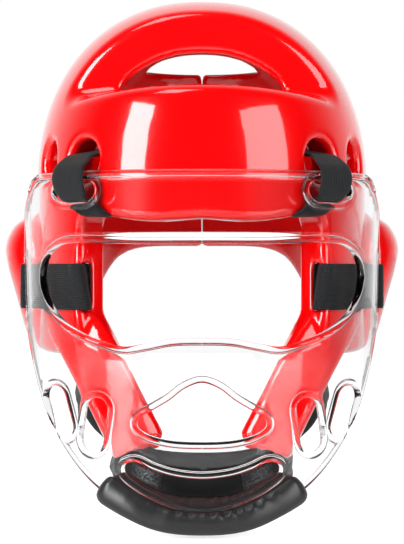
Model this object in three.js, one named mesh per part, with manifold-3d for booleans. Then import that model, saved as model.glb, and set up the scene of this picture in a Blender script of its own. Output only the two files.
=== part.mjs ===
// Taekwondo headgear of dipped foam with a clear face shield, in millimetres.
// Z points up and the face looks along -Y. The origin is the top of the hollow, where the
// wearer's head meets the crown, so nearly everything lies below it. The left and right
// sides are mirror images, and what is written for one side is for the side of +X.

import * as THREE from 'three';
import { mergeVertices } from 'three/addons/utils/BufferGeometryUtils.js';
import Module from 'manifold-3d';

const wasm = await Module();
wasm.setup();

// The foam shell is a dome on upright walls. Its plan and its dome are rounded ellipses.
const SHELL = { halfWidth: 96.5, front: 119, back: 125, domeHeight: 110, wall: 20, roundness: 2.2 };
const EQUATOR = SHELL.wall - SHELL.domeHeight;

// Heights of the shell's edges, and where the crown's front and rear faces are cut.
const FOREHEAD_TOP = { z: -38, sideDrop: 5, dropWidth: 68, crownY: -66, corner: 9 };
const REAR_TOP = { z: -13, sideDrop: 0, dropWidth: 50, crownY: 42, corner: 9 };
const CROWN_HOLE = { y: -12, halfWidth: 27, halfDepth: 17 };
const REAR_SPLIT = 6;

// The face opening as it is seen from the front, where it meets the shell's outer surface.
const FACE = { halfWidth: 66, browZ: -110, browRise: 4, corner: 9, taper: 0.86 };

// The lower rim as it is seen from the side: y and z of its corners, and the radii there.
const RIM = { sideZ: -183, rearZ: -121, sideEndY: 36, rearStartY: 89, sideRadius: 26, rearRadius: 20 };

// Round vents through the wall. The first one takes an upper strap, and the last is for the ear.
const VENTS = [
  { angle: 49.5, z: -78, halfWidth: 11, halfHeight: 11.5 },
  { angle: 27.5, z: -77, halfWidth: 11.5, halfHeight: 11.5 },
  { angle: -5, z: -136, halfWidth: 8, halfHeight: 8 },
];

// The ear pad bulges out of the wall. A row for each level, with how far it stands out of the
// wall and its half length along y.
const EAR_PAD = { y: 14, rootInset: 9 };
const EAR_ROWS = [
  { z: -106, out: 9, half: 20 },
  { z: -109, out: 14, half: 27 },
  { z: -115, out: 18.5, half: 32 },
  { z: -123, out: 21, half: 36 },
  { z: -134, out: 19.5, half: 38 },
  { z: -146, out: 16, half: 38 },
  { z: -158, out: 12.5, half: 36 },
  { z: -170, out: 9, half: 32 },
  { z: -180, out: 5.5, half: 27 },
  { z: -184, out: 2.5, half: 23 },
];

// The jaw band leaves the cheek and slants down to the chin. A row for each point of its
// centre line: the angle round the shell, the height, and how far it lies inside the surface.
const JAW = { width: 25, thickness: 18 };
const JAW_ROWS = [
  { angle: 27, z: -150, inset: 11 },
  { angle: 37.5, z: -164, inset: 10.5 },
  { angle: 49.5, z: -186, inset: 10 },
  { angle: 58, z: -209, inset: 12.5 },
  { angle: 65.5, z: -230, inset: 19 },
];

// The clear shield is a bent sheet round the face, and follows the shell at a distance.
const SHIELD = { thickness: 2.6, sideGap: 5, frontGap: 9, centreY: -20, roundness: 2.3 };
const SHIELD_TOP = { z: -84.5, bead: 4 };
// The cut corner between its top edge and its rear edge, as it is seen from the side.
const SHIELD_CORNER = [
  { y: -78, z: -84.5 },
  { y: -71, z: -86.5 },
  { y: -64, z: -91.5 },
  { y: -53, z: -98.5 },
  { y: -42, z: -105 },
  { y: -35, z: -116 },
  { y: -34, z: -132 },
];
// How far the sheet draws in towards the chin. A row for each level.
const SHIELD_ROWS = [
  { z: -80, sideIn: 0, frontIn: 0 },
  { z: -140, sideIn: 0, frontIn: 0 },
  { z: -198, sideIn: 2.5, frontIn: 0 },
  { z: -248, sideIn: 6.5, frontIn: 2 },
  { z: -280, sideIn: 10.5, frontIn: 4 },
];
// Its lower edge as it is seen from the side, from the ear to the chin.
const SHIELD_EDGE = [
  { y: -34, z: -152 },
  { y: -39, z: -164 },
  { y: -53, z: -175 },
  { y: -66, z: -191 },
  { y: -80, z: -212 },
  { y: -98, z: -235 },
  { y: -110, z: -251 },
  { y: -119, z: -262 },
  { y: -125, z: -270.5 },
  { y: -132, z: -272 },
];
const RIM_BEAD = { width: 4, rise: 1.1 };

// Half outlines of the openings that lie across the middle, seen from the front.
const EYE_OUTLINE = [
  { x: 0, z: -123.5 },
  { x: 34, z: -123.5 },
  { x: 66, z: -122.5 },
  { x: 76, z: -123.7 },
  { x: 83.5, z: -129.3 },
  { x: 86.8, z: -139 },
  { x: 84.6, z: -150.5 },
  { x: 77.8, z: -160.8 },
  { x: 65.5, z: -169.3 },
  { x: 52, z: -174.5 },
  { x: 41, z: -176.8 },
  { x: 31, z: -175.3 },
  { x: 16, z: -172.5 },
  { x: 0, z: -172 },
];
const BREATHER_OUTLINE = [
  { x: 0, z: -195.5 },
  { x: 9, z: -198.5 },
  { x: 17, z: -204.5 },
  { x: 27, z: -210.5 },
  { x: 33.5, z: -214.5 },
  { x: 34, z: -218.5 },
  { x: 29, z: -222 },
  { x: 18, z: -225 },
  { x: 0, z: -226 },
];
const MOUTH_OUTLINE = [
  { x: 0, z: -245.5 },
  { x: 16, z: -243.8 },
  { x: 27, z: -240.5 },
  { x: 35, z: -237.2 },
  { x: 40.5, z: -238.5 },
  { x: 41, z: -242.5 },
  { x: 34, z: -248.5 },
  { x: 22, z: -254.5 },
  { x: 10, z: -258.3 },
  { x: 0, z: -259.2 },
];
// Oblong openings beside the middle: centre, half sizes, and how far the top leans outwards.
const CHEEK_SLOTS = [
  { x: 57, z: -218.5, halfWidth: 6, halfHeight: 14.5, lean: -8 },
  { x: 77, z: -213, halfWidth: 6, halfHeight: 14, lean: 16 },
];
const STRAP_SLOT = { x: 68.4, z: -95, halfWidth: 11.5, halfHeight: 6, lean: 0 };
const SIDE_SLOT = { y: -46, z: -146, halfLength: 4, halfHeight: 15 };

// Webbing. Clearance is what a strap keeps to whatever it passes or wraps.
const WEB = { thickness: 2, clearance: 0.8, bend: 3 };
const UPPER_STRAP = { wide: 26, middling: 21, narrow: 17, turn: 36, browInset: 10 };
const SIDE_STRAP = { width: 25, z: -146 };
const EAR_SLOT = { y: -27, halfWidth: 4, halfHeight: 15 };
// The slit in the cheek's edge lies inside the ridge, starts in front of it and ends beyond the
// wall's inner surface.
const CHEEK_SLIT = { inset: 5.5, halfWidth: 2.2, before: 4.1, beyond: 7.5 };

const REAR_STRAP = { z: -70, height: 42, halfLength: 50, thickness: 2.5 };
const CHIN_CUP = { halfWidth: 46, depth: 34, centreY: -47, height: 30, thickness: 8, z: -249, endRise: 9 };
const CHIN_STRAP = { width: 20, thickness: 2.5 };
// Where the chin strap runs: from inside the cheek, behind the jaw band and past its outer edge.
// A row for each point: the angle round the shell, the height, how far it lies inside the surface,
// and how far its flat side faces away from the front.
const CHIN_STRAP_ROWS = [
  { angle: 21.9, z: -167, inset: 23.8, turn: 62 },
  { angle: 29, z: -182, inset: 23.8, turn: 57 },
  { angle: 40.5, z: -201.5, inset: 16.9, turn: 40 },
  { angle: 46.5, z: -215.5, inset: 22, turn: 38 },
];
// It ends against the front of the cup: how far along the cup, how far in front of the cup's
// middle line, and how far above it.
const CHIN_STRAP_ENDS = [
  { along: 0.16, inFront: 7.8, above: 13.5, turn: 40 },
  { along: 0.2, inFront: 7.2, above: 0.2, turn: 38 },
];
const CHIN_ROLL = { halfWidth: 51, endStep: 5, grooveGap: 0.4, grooveHeight: 60 };
// The roll's section about the shield's lower edge: outwards of the sheet, and up.
const ROLL_SECTION = [
  { out: -2, up: -4.4 },
  { out: 3.5, up: -3.2 },
  { out: 5.6, up: 0.6 },
  { out: 4.6, up: 4.2 },
  { out: 1.5, up: 5.5 },
  { out: -5, up: 10.5 },
  { out: -9, up: 13.5 },
  { out: -15, up: 12 },
  { out: -18.5, up: 6 },
  { out: -17.5, up: -1 },
  { out: -11, up: -4.4 },
];
const CLEARANCE = 0.4;

const FOAM_RED = { color: 0xd60a12, roughness: 0.28, metalness: 0 };
const CLEAR_SHEET = { color: 0xe9eef2, roughness: 0.05, metalness: 0, transparent: true, opacity: 0.3 };
const WEB_BLACK = { color: 0x17181a, roughness: 0.85, metalness: 0 };
const ROLL_BLACK = { color: 0x202224, roughness: 0.38, metalness: 0 };

const PLAN_STEPS = 44;
const DOME_STEPS = 7;
const ARC_STEPS = 5;

const radians = THREE.MathUtils.degToRad;
const vector = (x, y, z) => new THREE.Vector3(x, y, z);

// Solids

function manifoldOf(geometry) {
  const bare = new THREE.BufferGeometry();
  bare.setAttribute('position', geometry.getAttribute('position'));
  bare.setIndex(geometry.getIndex());
  const merged = mergeVertices(bare, 1e-4);
  return new wasm.Manifold(
    new wasm.Mesh({
      numProp: 3,
      vertProperties: merged.getAttribute('position').array,
      triVerts: new Uint32Array(merged.getIndex().array),
    }),
  );
}

function geometryOf(solid) {
  const mesh = solid.getMesh();
  const geometry = new THREE.BufferGeometry();
  geometry.setAttribute('position', new THREE.Float32BufferAttribute(mesh.vertProperties, 3));
  geometry.setIndex(new THREE.Uint32BufferAttribute(mesh.triVerts, 1));
  geometry.computeVertexNormals();
  return geometry;
}

// A closed solid of points and faces, turned the right way out.
function solidOf(points, faces) {
  let volume = 0;
  for (const [a, b, c] of faces) volume += points[a].dot(points[b].clone().cross(points[c]));
  const turned = volume < 0 ? faces.map(([a, b, c]) => [a, c, b]) : faces;
  const geometry = new THREE.BufferGeometry().setFromPoints(points);
  geometry.setIndex(turned.flat());
  return manifoldOf(geometry);
}

const quad = (a, b, c, d) => [
  [a, b, c],
  [a, c, d],
];

// Joins equal rings of points into one solid, with a cap on each end or bent round on itself.
function loft(rings, closed = false) {
  const count = rings[0].length;
  const points = rings.flat();
  const faces = [];
  const last = closed ? rings.length : rings.length - 1;
  for (let i = 0; i < last; i++) {
    const here = i * count;
    const next = ((i + 1) % rings.length) * count;
    for (let j = 0; j < count; j++) {
      const k = (j + 1) % count;
      faces.push(...quad(here + j, here + k, next + k, next + j));
    }
  }
  if (!closed) {
    for (const [start, flip] of [[0, true], [(rings.length - 1) * count, false]]) {
      const middle = new THREE.Vector3();
      for (let j = 0; j < count; j++) middle.addScaledVector(points[start + j], 1 / count);
      points.push(middle);
      for (let j = 0; j < count; j++) {
        const k = (j + 1) % count;
        const face = [start + j, start + k, points.length - 1];
        faces.push(flip ? face.reverse() : face);
      }
    }
  }
  return solidOf(points, faces);
}

// A solid sheet between two grids of points. Each face is given by a function of its column and row.
function sheet(columns, rows, outerAt, innerAt) {
  const points = [];
  for (const at of [outerAt, innerAt])
    for (let i = 0; i <= columns; i++) for (let j = 0; j <= rows; j++) points.push(at(i / columns, j / rows));
  const half = (columns + 1) * (rows + 1);
  const index = (i, j) => i * (rows + 1) + j;
  const faces = [];
  for (let i = 0; i < columns; i++)
    for (let j = 0; j < rows; j++) {
      const corners = [index(i, j), index(i + 1, j), index(i + 1, j + 1), index(i, j + 1)];
      faces.push(...quad(...corners), ...quad(...corners.map((c) => c + half).reverse()));
    }
  const border = [];
  for (let i = 0; i < columns; i++) border.push(index(i, 0));
  for (let j = 0; j < rows; j++) border.push(index(columns, j));
  for (let i = columns; i > 0; i--) border.push(index(i, rows));
  for (let j = rows; j > 0; j--) border.push(index(0, j));
  border.forEach((a, n) => {
    const b = border[(n + 1) % border.length];
    faces.push(...quad(b, a, a + half, b + half));
  });
  return solidOf(points, faces);
}

function extruded(outline, depth, matrix) {
  const shape = new THREE.Shape(outline);
  const geometry = new THREE.ExtrudeGeometry(shape, { depth, bevelEnabled: false });
  geometry.deleteAttribute('normal');
  geometry.deleteAttribute('uv');
  geometry.applyMatrix4(matrix);
  return manifoldOf(mergeVertices(geometry, 1e-4));
}

// An outline in x and z, extruded along y between two depths.
function extrudedAlongY(outline, from, to) {
  const matrix = new THREE.Matrix4().makeBasis(vector(1, 0, 0), vector(0, 0, 1), vector(0, -1, 0));
  matrix.setPosition(0, to, 0);
  return extruded(outline, to - from, matrix);
}

// An outline in y and z, extruded along x over the whole width.
function extrudedAlongX(outline, halfLength) {
  const matrix = new THREE.Matrix4().makeBasis(vector(0, 1, 0), vector(0, 0, 1), vector(1, 0, 0));
  matrix.setPosition(-halfLength, 0, 0);
  return extruded(outline, 2 * halfLength, matrix);
}

const mirrored = (solid) => solid.mirror([1, 0, 0]);
const bothSides = (solid) => solid.add(mirrored(solid));
const reach = () => 2 * (SHELL.halfWidth + SHELL.front + SHELL.back);

function box(low, high) {
  const size = high.clone().sub(low);
  const geometry = new THREE.BoxGeometry(size.x, size.y, size.z);
  geometry.deleteAttribute('normal');
  geometry.deleteAttribute('uv');
  geometry.translate(...low.clone().addScaledVector(size, 0.5));
  return manifoldOf(mergeVertices(geometry, 1e-4));
}

// Interpolates the columns of a table by the value of one column.
function lookUp(rows, key, value, column) {
  const sorted = [...rows].sort((a, b) => a[key] - b[key]);
  if (value <= sorted[0][key]) return sorted[0][column];
  for (let i = 1; i < sorted.length; i++) {
    const [low, high] = [sorted[i - 1], sorted[i]];
    if (value <= high[key]) {
      const share = (value - low[key]) / (high[key] - low[key]);
      return THREE.MathUtils.lerp(low[column], high[column], share);
    }
  }
  return sorted.at(-1)[column];
}

// Surfaces that the pieces follow

// A point of a rounded ellipse. Angle 0 is on the side of +X, and 90 degrees is the front.
function planPoint(halfWidth, front, back, roundness, degrees) {
  const [c, s] = [Math.cos(radians(degrees)), Math.sin(radians(degrees))];
  const bent = (value) => Math.sign(value) * Math.abs(value) ** (2 / roundness);
  return { x: halfWidth * bent(c), y: -(s > 0 ? front : back) * bent(s) };
}

// A point of the shell's surface, moved outwards by offset. Above the equator it is on the dome.
function shellPoint(degrees, z, offset = 0) {
  const above = Math.max(0, z - EQUATOR) / (SHELL.domeHeight + offset);
  const shrink = Math.max(0, 1 - above ** SHELL.roundness) ** (1 / SHELL.roundness);
  const plan = planPoint(
    SHELL.halfWidth + offset,
    SHELL.front + offset,
    SHELL.back + offset,
    SHELL.roundness,
    degrees,
  );
  return vector(plan.x * shrink, plan.y * shrink, z);
}

// The point where the face opening's side edge meets the shell's outer surface, at height z.
function cheekRidge(z) {
  const share = (FACE.halfWidth / SHELL.halfWidth) ** SHELL.roundness;
  return vector(FACE.halfWidth, -SHELL.front * (1 - share) ** (1 / SHELL.roundness), z);
}

// Where the cheek's slit runs, seen from above.
function cheekSlit() {
  const x = FACE.halfWidth - CHEEK_SLIT.inset;
  const share = (x / (SHELL.halfWidth - SHELL.wall)) ** SHELL.roundness;
  const wallY = -(SHELL.front - SHELL.wall) * (1 - share) ** (1 / SHELL.roundness);
  return { x, from: cheekRidge(0).y - CHEEK_SLIT.before, to: wallY + CHEEK_SLIT.beyond };
}

// The angle at which the shell's outline, moved by offset, reaches a given y.
function shellAngleAtY(y, offset = 0) {
  const depth = y < 0 ? SHELL.front + offset : SHELL.back + offset;
  const sine = Math.min(1, Math.abs(y) / depth) ** (SHELL.roundness / 2);
  return -Math.sign(y) * THREE.MathUtils.radToDeg(Math.asin(sine));
}

// A point of the shield's outer surface, moved outwards by offset.
function shieldPoint(degrees, z, offset = 0) {
  const sideIn = lookUp(SHIELD_ROWS, 'z', z, 'sideIn');
  const frontIn = lookUp(SHIELD_ROWS, 'z', z, 'frontIn');
  const halfWidth = SHELL.halfWidth + SHIELD.sideGap - sideIn + offset;
  const depth = SHELL.front + SHIELD.frontGap + SHIELD.centreY - frontIn + offset;
  const plan = planPoint(halfWidth, depth, depth, SHIELD.roundness, degrees);
  return vector(plan.x, SHIELD.centreY + plan.y, z);
}

function shieldAngleAtX(x) {
  const cosine = (Math.abs(x) / (SHELL.halfWidth + SHIELD.sideGap)) ** (SHIELD.roundness / 2);
  return THREE.MathUtils.radToDeg(Math.acos(Math.min(1, cosine)));
}

function shieldAngleAtY(y) {
  const depth = SHELL.front + SHIELD.frontGap + SHIELD.centreY;
  const sine = Math.min(1, (SHIELD.centreY - y) / depth) ** (SHIELD.roundness / 2);
  return THREE.MathUtils.radToDeg(Math.asin(sine));
}

// The shell

// The shell's outline filled in, moved outwards by offset, from floorZ up.
function domeSolid(offset, floorZ) {
  const ring = (z) =>
    Array.from({ length: PLAN_STEPS }, (_, i) => shellPoint((360 * i) / PLAN_STEPS, z, offset));
  const rings = [ring(floorZ), ring((floorZ + EQUATOR) / 2), ring(EQUATOR)];
  for (let i = 1; i <= DOME_STEPS; i++) {
    const latitude = Math.sin(radians((89 * i) / DOME_STEPS)) ** (2 / SHELL.roundness);
    rings.push(ring(EQUATOR + (SHELL.domeHeight + offset) * latitude));
  }
  return loft(rings);
}

// What is taken off above an edge, in front of the crown or behind it. The edge drops to the
// sides, and the corner between the edge and the crown's face is rounded.
function stepCutter(edge, away) {
  const far = reach();
  const stations = 10;
  const rings = [];
  for (let i = 0; i <= stations; i++) {
    const x = (1.3 * SHELL.halfWidth * (2 * i - stations)) / stations;
    const z = edge.z - edge.sideDrop * (x / edge.dropWidth) ** 2;
    const ring = [vector(x, away * far, z)];
    for (let j = 0; j <= ARC_STEPS; j++) {
      const turn = radians((90 * j) / ARC_STEPS);
      const y = edge.crownY + away * edge.corner * (1 - Math.sin(turn));
      ring.push(vector(x, y, z + edge.corner * (1 - Math.cos(turn))));
    }
    ring.push(vector(x, edge.crownY, far), vector(x, away * far, far));
    rings.push(ring);
  }
  return loft(rings);
}

// A rectangle with two round corners, from the middle to halfWidth, closed below at floorZ.
function faceOutline() {
  const { halfWidth, browZ, browRise, corner } = FACE;
  const right = [
    new THREE.Vector2(0, browZ),
    new THREE.Vector2(0.35 * halfWidth, browZ - 0.3 * browRise),
    new THREE.Vector2(0.6 * halfWidth, browZ + 0.3 * browRise),
  ];
  for (let j = 0; j <= ARC_STEPS; j++) {
    const turn = radians((90 * j) / ARC_STEPS);
    const x = halfWidth - corner * (1 - Math.sin(turn));
    right.push(new THREE.Vector2(x, browZ + browRise - corner * (1 - Math.cos(turn))));
  }
  right.push(new THREE.Vector2(halfWidth, RIM.sideZ - SHELL.wall));
  const left = right.slice(1).reverse();
  return [...right, ...left.map((p) => new THREE.Vector2(-p.x, p.y))];
}

// The face opening narrows inwards, square to the wall at the cheeks.
function faceCutter() {
  const ridge = cheekRidge(EQUATOR).y;
  const outline = faceOutline();
  const depths = [ridge - 1.2 * SHELL.wall, ridge, ridge + 1.4 * SHELL.wall];
  const rings = depths.map((y) => {
    const narrow = 1 - (FACE.taper * (y - ridge)) / FACE.halfWidth;
    return outline.map((p) => vector(p.x * Math.max(0.5, narrow), y, p.y));
  });
  const back = rings.at(-1).map((p) => vector(p.x, -0.3 * SHELL.front, p.z));
  return loft([rings[0].map((p) => vector(p.x, -reach(), p.z)), ...rings, back]);
}

// Everything below the rim, as it is seen from the side.
function rimCutter() {
  const { sideZ, rearZ, sideEndY, rearStartY, sideRadius, rearRadius } = RIM;
  const far = reach();
  const corners = [
    new THREE.Vector2(-far, sideZ),
    new THREE.Vector2(sideEndY, sideZ),
    new THREE.Vector2(rearStartY, rearZ),
    new THREE.Vector2(far, rearZ),
  ];
  const path = new THREE.Path();
  path.moveTo(corners[0].x, corners[0].y);
  for (const [n, radius] of [[1, sideRadius], [2, rearRadius]]) {
    const toLast = corners[n - 1].clone().sub(corners[n]).setLength(radius);
    const toNext = corners[n + 1].clone().sub(corners[n]).setLength(radius);
    const [start, end] = [corners[n].clone().add(toLast), corners[n].clone().add(toNext)];
    path.lineTo(start.x, start.y);
    path.quadraticCurveTo(corners[n].x, corners[n].y, end.x, end.y);
  }
  path.lineTo(corners[3].x, corners[3].y);
  const outline = path.getPoints(ARC_STEPS);
  outline.push(new THREE.Vector2(far, -far), new THREE.Vector2(-far, -far));
  return extrudedAlongX(outline, far);
}

// A round pin square to the wall, to cut a vent with.
function ventCutter({ angle, z, halfWidth, halfHeight }) {
  const from = shellPoint(angle, z, 1.5 * SHELL.wall);
  const to = shellPoint(angle, z, -1.8 * SHELL.wall);
  const geometry = new THREE.CylinderGeometry(1, 1, from.distanceTo(to), 20);
  geometry.deleteAttribute('normal');
  geometry.deleteAttribute('uv');
  geometry.scale(halfWidth, 1, halfHeight);
  const direction = to.clone().sub(from).normalize();
  const turn = new THREE.Quaternion().setFromUnitVectors(vector(0, 1, 0), direction);
  geometry.applyQuaternion(turn);
  geometry.translate(...from.lerp(to, 0.5));
  return manifoldOf(mergeVertices(geometry, 1e-4));
}

function crownHoleCutter() {
  const geometry = new THREE.CylinderGeometry(1, 1, 4 * SHELL.wall, 28);
  geometry.deleteAttribute('normal');
  geometry.deleteAttribute('uv');
  geometry.rotateX(Math.PI / 2);
  geometry.scale(CROWN_HOLE.halfWidth, CROWN_HOLE.halfDepth, 1);
  geometry.translate(0, CROWN_HOLE.y, SHELL.wall / 2);
  return manifoldOf(mergeVertices(geometry, 1e-4));
}

function earPad() {
  const steps = 12;
  const rings = EAR_ROWS.map(({ z, out, half }) => {
    const ring = [];
    for (let i = 0; i <= steps; i++) {
      const turn = radians((180 * i) / steps - 90);
      const y = EAR_PAD.y + half * Math.sin(turn);
      const wall = shellPoint(shellAngleAtY(y), z);
      ring.push(vector(wall.x + out * Math.cos(turn) ** 0.75, y, z));
    }
    const rootX = SHELL.halfWidth - EAR_PAD.rootInset;
    return [...ring, vector(rootX, EAR_PAD.y + 0.7 * half, z), vector(rootX, EAR_PAD.y - 0.7 * half, z)];
  });
  return loft(rings);
}

// The jaw band's centre line, and the directions of its width and of its outer face.
function jawFrames(steps) {
  const centres = JAW_ROWS.map(({ angle, z, inset }) => shellPoint(angle, z, -inset));
  const curve = new THREE.CatmullRomCurve3(centres, false, 'centripetal');
  return Array.from({ length: steps + 1 }, (_, i) => {
    const centre = curve.getPoint(i / steps);
    const along = curve.getTangent(i / steps);
    const outward = vector(centre.x / SHELL.halfWidth, centre.y / SHELL.front, 0).normalize();
    const across = along.clone().cross(outward).normalize();
    return { centre, across, out: across.clone().cross(along).normalize() };
  });
}

// A closed ring with rounded corners about a centre.
function roundedRing(centre, across, out, width, thickness, steps = 12, corner = 3.2) {
  return Array.from({ length: steps }, (_, i) => {
    const turn = (2 * Math.PI * (i + 0.5)) / steps;
    const bent = (value) => Math.sign(value) * Math.abs(value) ** (2 / corner);
    return centre
      .clone()
      .addScaledVector(across, (width / 2) * bent(Math.cos(turn)))
      .addScaledVector(out, (thickness / 2) * bent(Math.sin(turn)));
  });
}

function jawBand() {
  const frames = jawFrames(10);
  const rings = frames.map((f) => roundedRing(f.centre, f.across, f.out, JAW.width, JAW.thickness));
  // The free end is drawn in, so that it is round.
  const { centre, across, out } = frames.at(-1);
  const along = out.clone().cross(across).normalize();
  for (const [step, share] of [[0.16, 0.86], [0.26, 0.5]]) {
    const moved = centre.clone().addScaledVector(along, step * JAW.width);
    rings.push(roundedRing(moved, across, out, share * JAW.width, share * JAW.thickness));
  }
  return loft(rings);
}

// The upright slots that a side strap passes through: one before the ear, and one that goes
// back into the cheek from its edge.
function strapSlotCutters() {
  const { y, halfWidth, halfHeight } = EAR_SLOT;
  const low = SIDE_STRAP.z - halfHeight;
  const high = SIDE_STRAP.z + halfHeight;
  const ear = box(
    vector(0.5 * SHELL.halfWidth, y - halfWidth, low),
    vector(1.5 * SHELL.halfWidth, y + halfWidth, high),
  );
  const { x, from, to } = cheekSlit();
  const [near, far] = [x - CHEEK_SLIT.halfWidth, x + CHEEK_SLIT.halfWidth];
  return [ear, box(vector(near, from, low), vector(far, to, high))];
}

function shell() {
  const floorZ = RIM.sideZ - SHELL.wall;
  const hollow = domeSolid(-SHELL.wall, floorZ - SHELL.wall);
  let body = domeSolid(0, floorZ)
    .subtract(stepCutter(FOREHEAD_TOP, -1))
    .subtract(stepCutter(REAR_TOP, 1))
    .subtract(faceCutter())
    .subtract(rimCutter());
  body = body.add(bothSides(earPad())).subtract(hollow);
  body = body.add(bothSides(jawBand()));
  const split = box(vector(-REAR_SPLIT / 2, 0.5 * SHELL.back, -reach()), vector(REAR_SPLIT / 2, reach(), 0));
  const holes = [...VENTS.map(ventCutter), ...strapSlotCutters()];
  body = body.subtract(split).subtract(crownHoleCutter());
  return holes.reduce((solid, hole) => solid.subtract(bothSides(hole)), body);
}

// The shield

const HALF_SPAN = 108;

function shieldSheet(outerOffset, innerOffset, topZ, floorZ) {
  const at = (offset) => (u, v) => {
    const degrees = 90 + HALF_SPAN * (2 * u - 1);
    return shieldPoint(degrees, THREE.MathUtils.lerp(floorZ, topZ, v), offset);
  };
  return sheet(30, 5, at(outerOffset), at(innerOffset));
}

// A smooth closed outline through half of its points, which are mirrored to the other side.
function mirroredOutline(rows, steps) {
  const right = rows.map(({ x, z }) => vector(x, z, 0));
  const left = rows.slice(1, -1).reverse().map(({ x, z }) => vector(-x, z, 0));
  const curve = new THREE.CatmullRomCurve3([...right, ...left], true, 'centripetal');
  return curve.getPoints(steps).slice(0, -1).map((p) => new THREE.Vector2(p.x, p.y));
}

// An oblong with round ends, whose top leans outwards by degrees.
function oblongOutline({ x, z, halfWidth, halfHeight, lean }, grow = 0) {
  const long = Math.max(halfWidth, halfHeight);
  const short = Math.min(halfWidth, halfHeight) + grow;
  const straight = long + grow - short;
  const points = [];
  const steps = 5;
  for (let i = 0; i <= 2 * steps + 1; i++) {
    const end = i <= steps ? 1 : -1;
    const turn = radians((180 * (i % (steps + 1))) / steps + (end > 0 ? 0 : 180));
    points.push(new THREE.Vector2(short * Math.cos(turn), end * straight + short * Math.sin(turn)));
  }
  const upright = halfHeight >= halfWidth ? 0 : 90;
  return points.map((p) =>
    p.rotateAround(new THREE.Vector2(), radians(upright - lean)).add(new THREE.Vector2(x, z)),
  );
}

// The same outline moved outwards by a distance.
function grown(outline, distance) {
  const turn = THREE.ShapeUtils.isClockWise(outline) ? -1 : 1;
  return outline.map((point, i) => {
    const before = outline.at(i - 1);
    const after = outline[(i + 1) % outline.length];
    const along = after.clone().sub(before).normalize();
    return new THREE.Vector2(point.x + turn * distance * along.y, point.y - turn * distance * along.x);
  });
}

// What is left of the shield's sheet inside its outer edge, as it is seen from the side.
function edgeKeeper() {
  const smooth = (rows, steps) =>
    new THREE.SplineCurve(rows.map(({ y, z }) => new THREE.Vector2(y, z))).getPoints(steps);
  const outline = [
    new THREE.Vector2(-reach(), SHIELD_TOP.z),
    ...smooth(SHIELD_CORNER, 12),
    ...smooth(SHIELD_EDGE, 20),
    new THREE.Vector2(-reach(), SHIELD_EDGE.at(-1).z),
  ];
  return extrudedAlongX(outline, reach());
}

// The openings of the shield that are cut from the front, with the width of their raised rims.
function shieldOpenings() {
  const middle = [
    mirroredOutline(EYE_OUTLINE, 40),
    mirroredOutline(BREATHER_OUTLINE, 24),
    mirroredOutline(MOUTH_OUTLINE, 26),
  ].map((outline) => ({ outline, rim: grown(outline, RIM_BEAD.width) }));
  const sides = [...CHEEK_SLOTS, STRAP_SLOT].flatMap((slot) =>
    [1, -1].map((side) => {
      const flip = (p) => new THREE.Vector2(side * p.x, p.y);
      return {
        outline: oblongOutline(slot).map(flip),
        rim: oblongOutline(slot, RIM_BEAD.width).map(flip),
      };
    }),
  );
  return [...middle, ...sides];
}

function shield() {
  const floorZ = SHIELD_EDGE.at(-1).z - 5;
  const topZ = SHIELD_TOP.z + 5;
  const thin = shieldSheet(0, -SHIELD.thickness, topZ, floorZ);
  const thick = shieldSheet(RIM_BEAD.rise, -SHIELD.thickness - RIM_BEAD.rise, topZ, floorZ);
  const [front, back] = [-reach(), SHIELD.centreY];
  const far = reach();
  const beadLow = SHIELD_TOP.z - SHIELD_TOP.bead;
  let body = thin.add(thick.intersect(box(vector(-far, -far, beadLow), vector(far, far, far))));
  const openings = shieldOpenings();
  for (const { rim } of openings) body = body.add(thick.intersect(extrudedAlongY(rim, front, back)));
  for (const { outline } of openings) body = body.subtract(extrudedAlongY(outline, front, back));
  const { y, z, halfLength, halfHeight } = SIDE_SLOT;
  const slot = box(
    vector(0.5 * SHELL.halfWidth, y - halfLength, z - halfHeight),
    vector(1.5 * SHELL.halfWidth, y + halfLength, z + halfHeight),
  );
  return body.intersect(edgeKeeper()).subtract(bothSides(slot));
}

// The height of the shield's lower edge at a given y.
const edgeHeight = (y) => lookUp(SHIELD_EDGE, 'y', y, 'z');

// A point of the lower edge on the shield's outer surface, at a given x.
function edgePoint(x) {
  let point = shieldPoint(shieldAngleAtX(x), SHIELD_EDGE.at(-1).z);
  for (let i = 0; i < 12; i++) {
    const low = shieldPoint(0, point.z).x;
    const cosine = Math.min(1, Math.abs(x) / low) ** (SHIELD.roundness / 2);
    const degrees = THREE.MathUtils.radToDeg(Math.acos(cosine));
    point = shieldPoint(degrees, edgeHeight(point.y));
  }
  point.x = x;
  return point;
}

function chinRoll() {
  const steps = 16;
  const centres = Array.from({ length: steps + 1 }, (_, i) => {
    return edgePoint(CHIN_ROLL.halfWidth * Math.sin((Math.PI / 2) * ((2 * i) / steps - 1)));
  });
  const curve = new THREE.CatmullRomCurve3(centres);
  const rings = [];
  const ends = [[0, 0.4, -1], [0, 0.8, -0.7], [0, 0.95, 0]];
  const stations = [
    ...ends,
    ...Array.from({ length: steps - 1 }, (_, i) => [(i + 1) / steps, 1, 0]),
    ...ends.toReversed().map(([, share, step]) => [1, share, -step]),
  ];
  for (const [at, share, step] of stations) {
    const point = curve.getPoint(at);
    const along = curve.getTangent(at);
    const out = vector(along.y, -along.x, 0).normalize();
    const up = out.clone().cross(along).normalize();
    if (up.z < 0) up.negate();
    const centre = point.clone().addScaledVector(along, step * CHIN_ROLL.endStep);
    rings.push(
      ROLL_SECTION.map((row) => {
        const [o, u] = [-6 + share * (row.out + 6), 3 + share * (row.up - 3)];
        return centre.clone().addScaledVector(out, o).addScaledVector(up, u);
      }),
    );
  }
  const gap = CHIN_ROLL.grooveGap;
  const floorZ = SHIELD_EDGE.at(-1).z - gap;
  const behind = SHIELD.thickness + RIM_BEAD.rise + gap;
  const groove = shieldSheet(gap, -behind, floorZ + CHIN_ROLL.grooveHeight, floorZ);
  return loft(rings).subtract(rimmedGroove(groove, gap));
}

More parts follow.
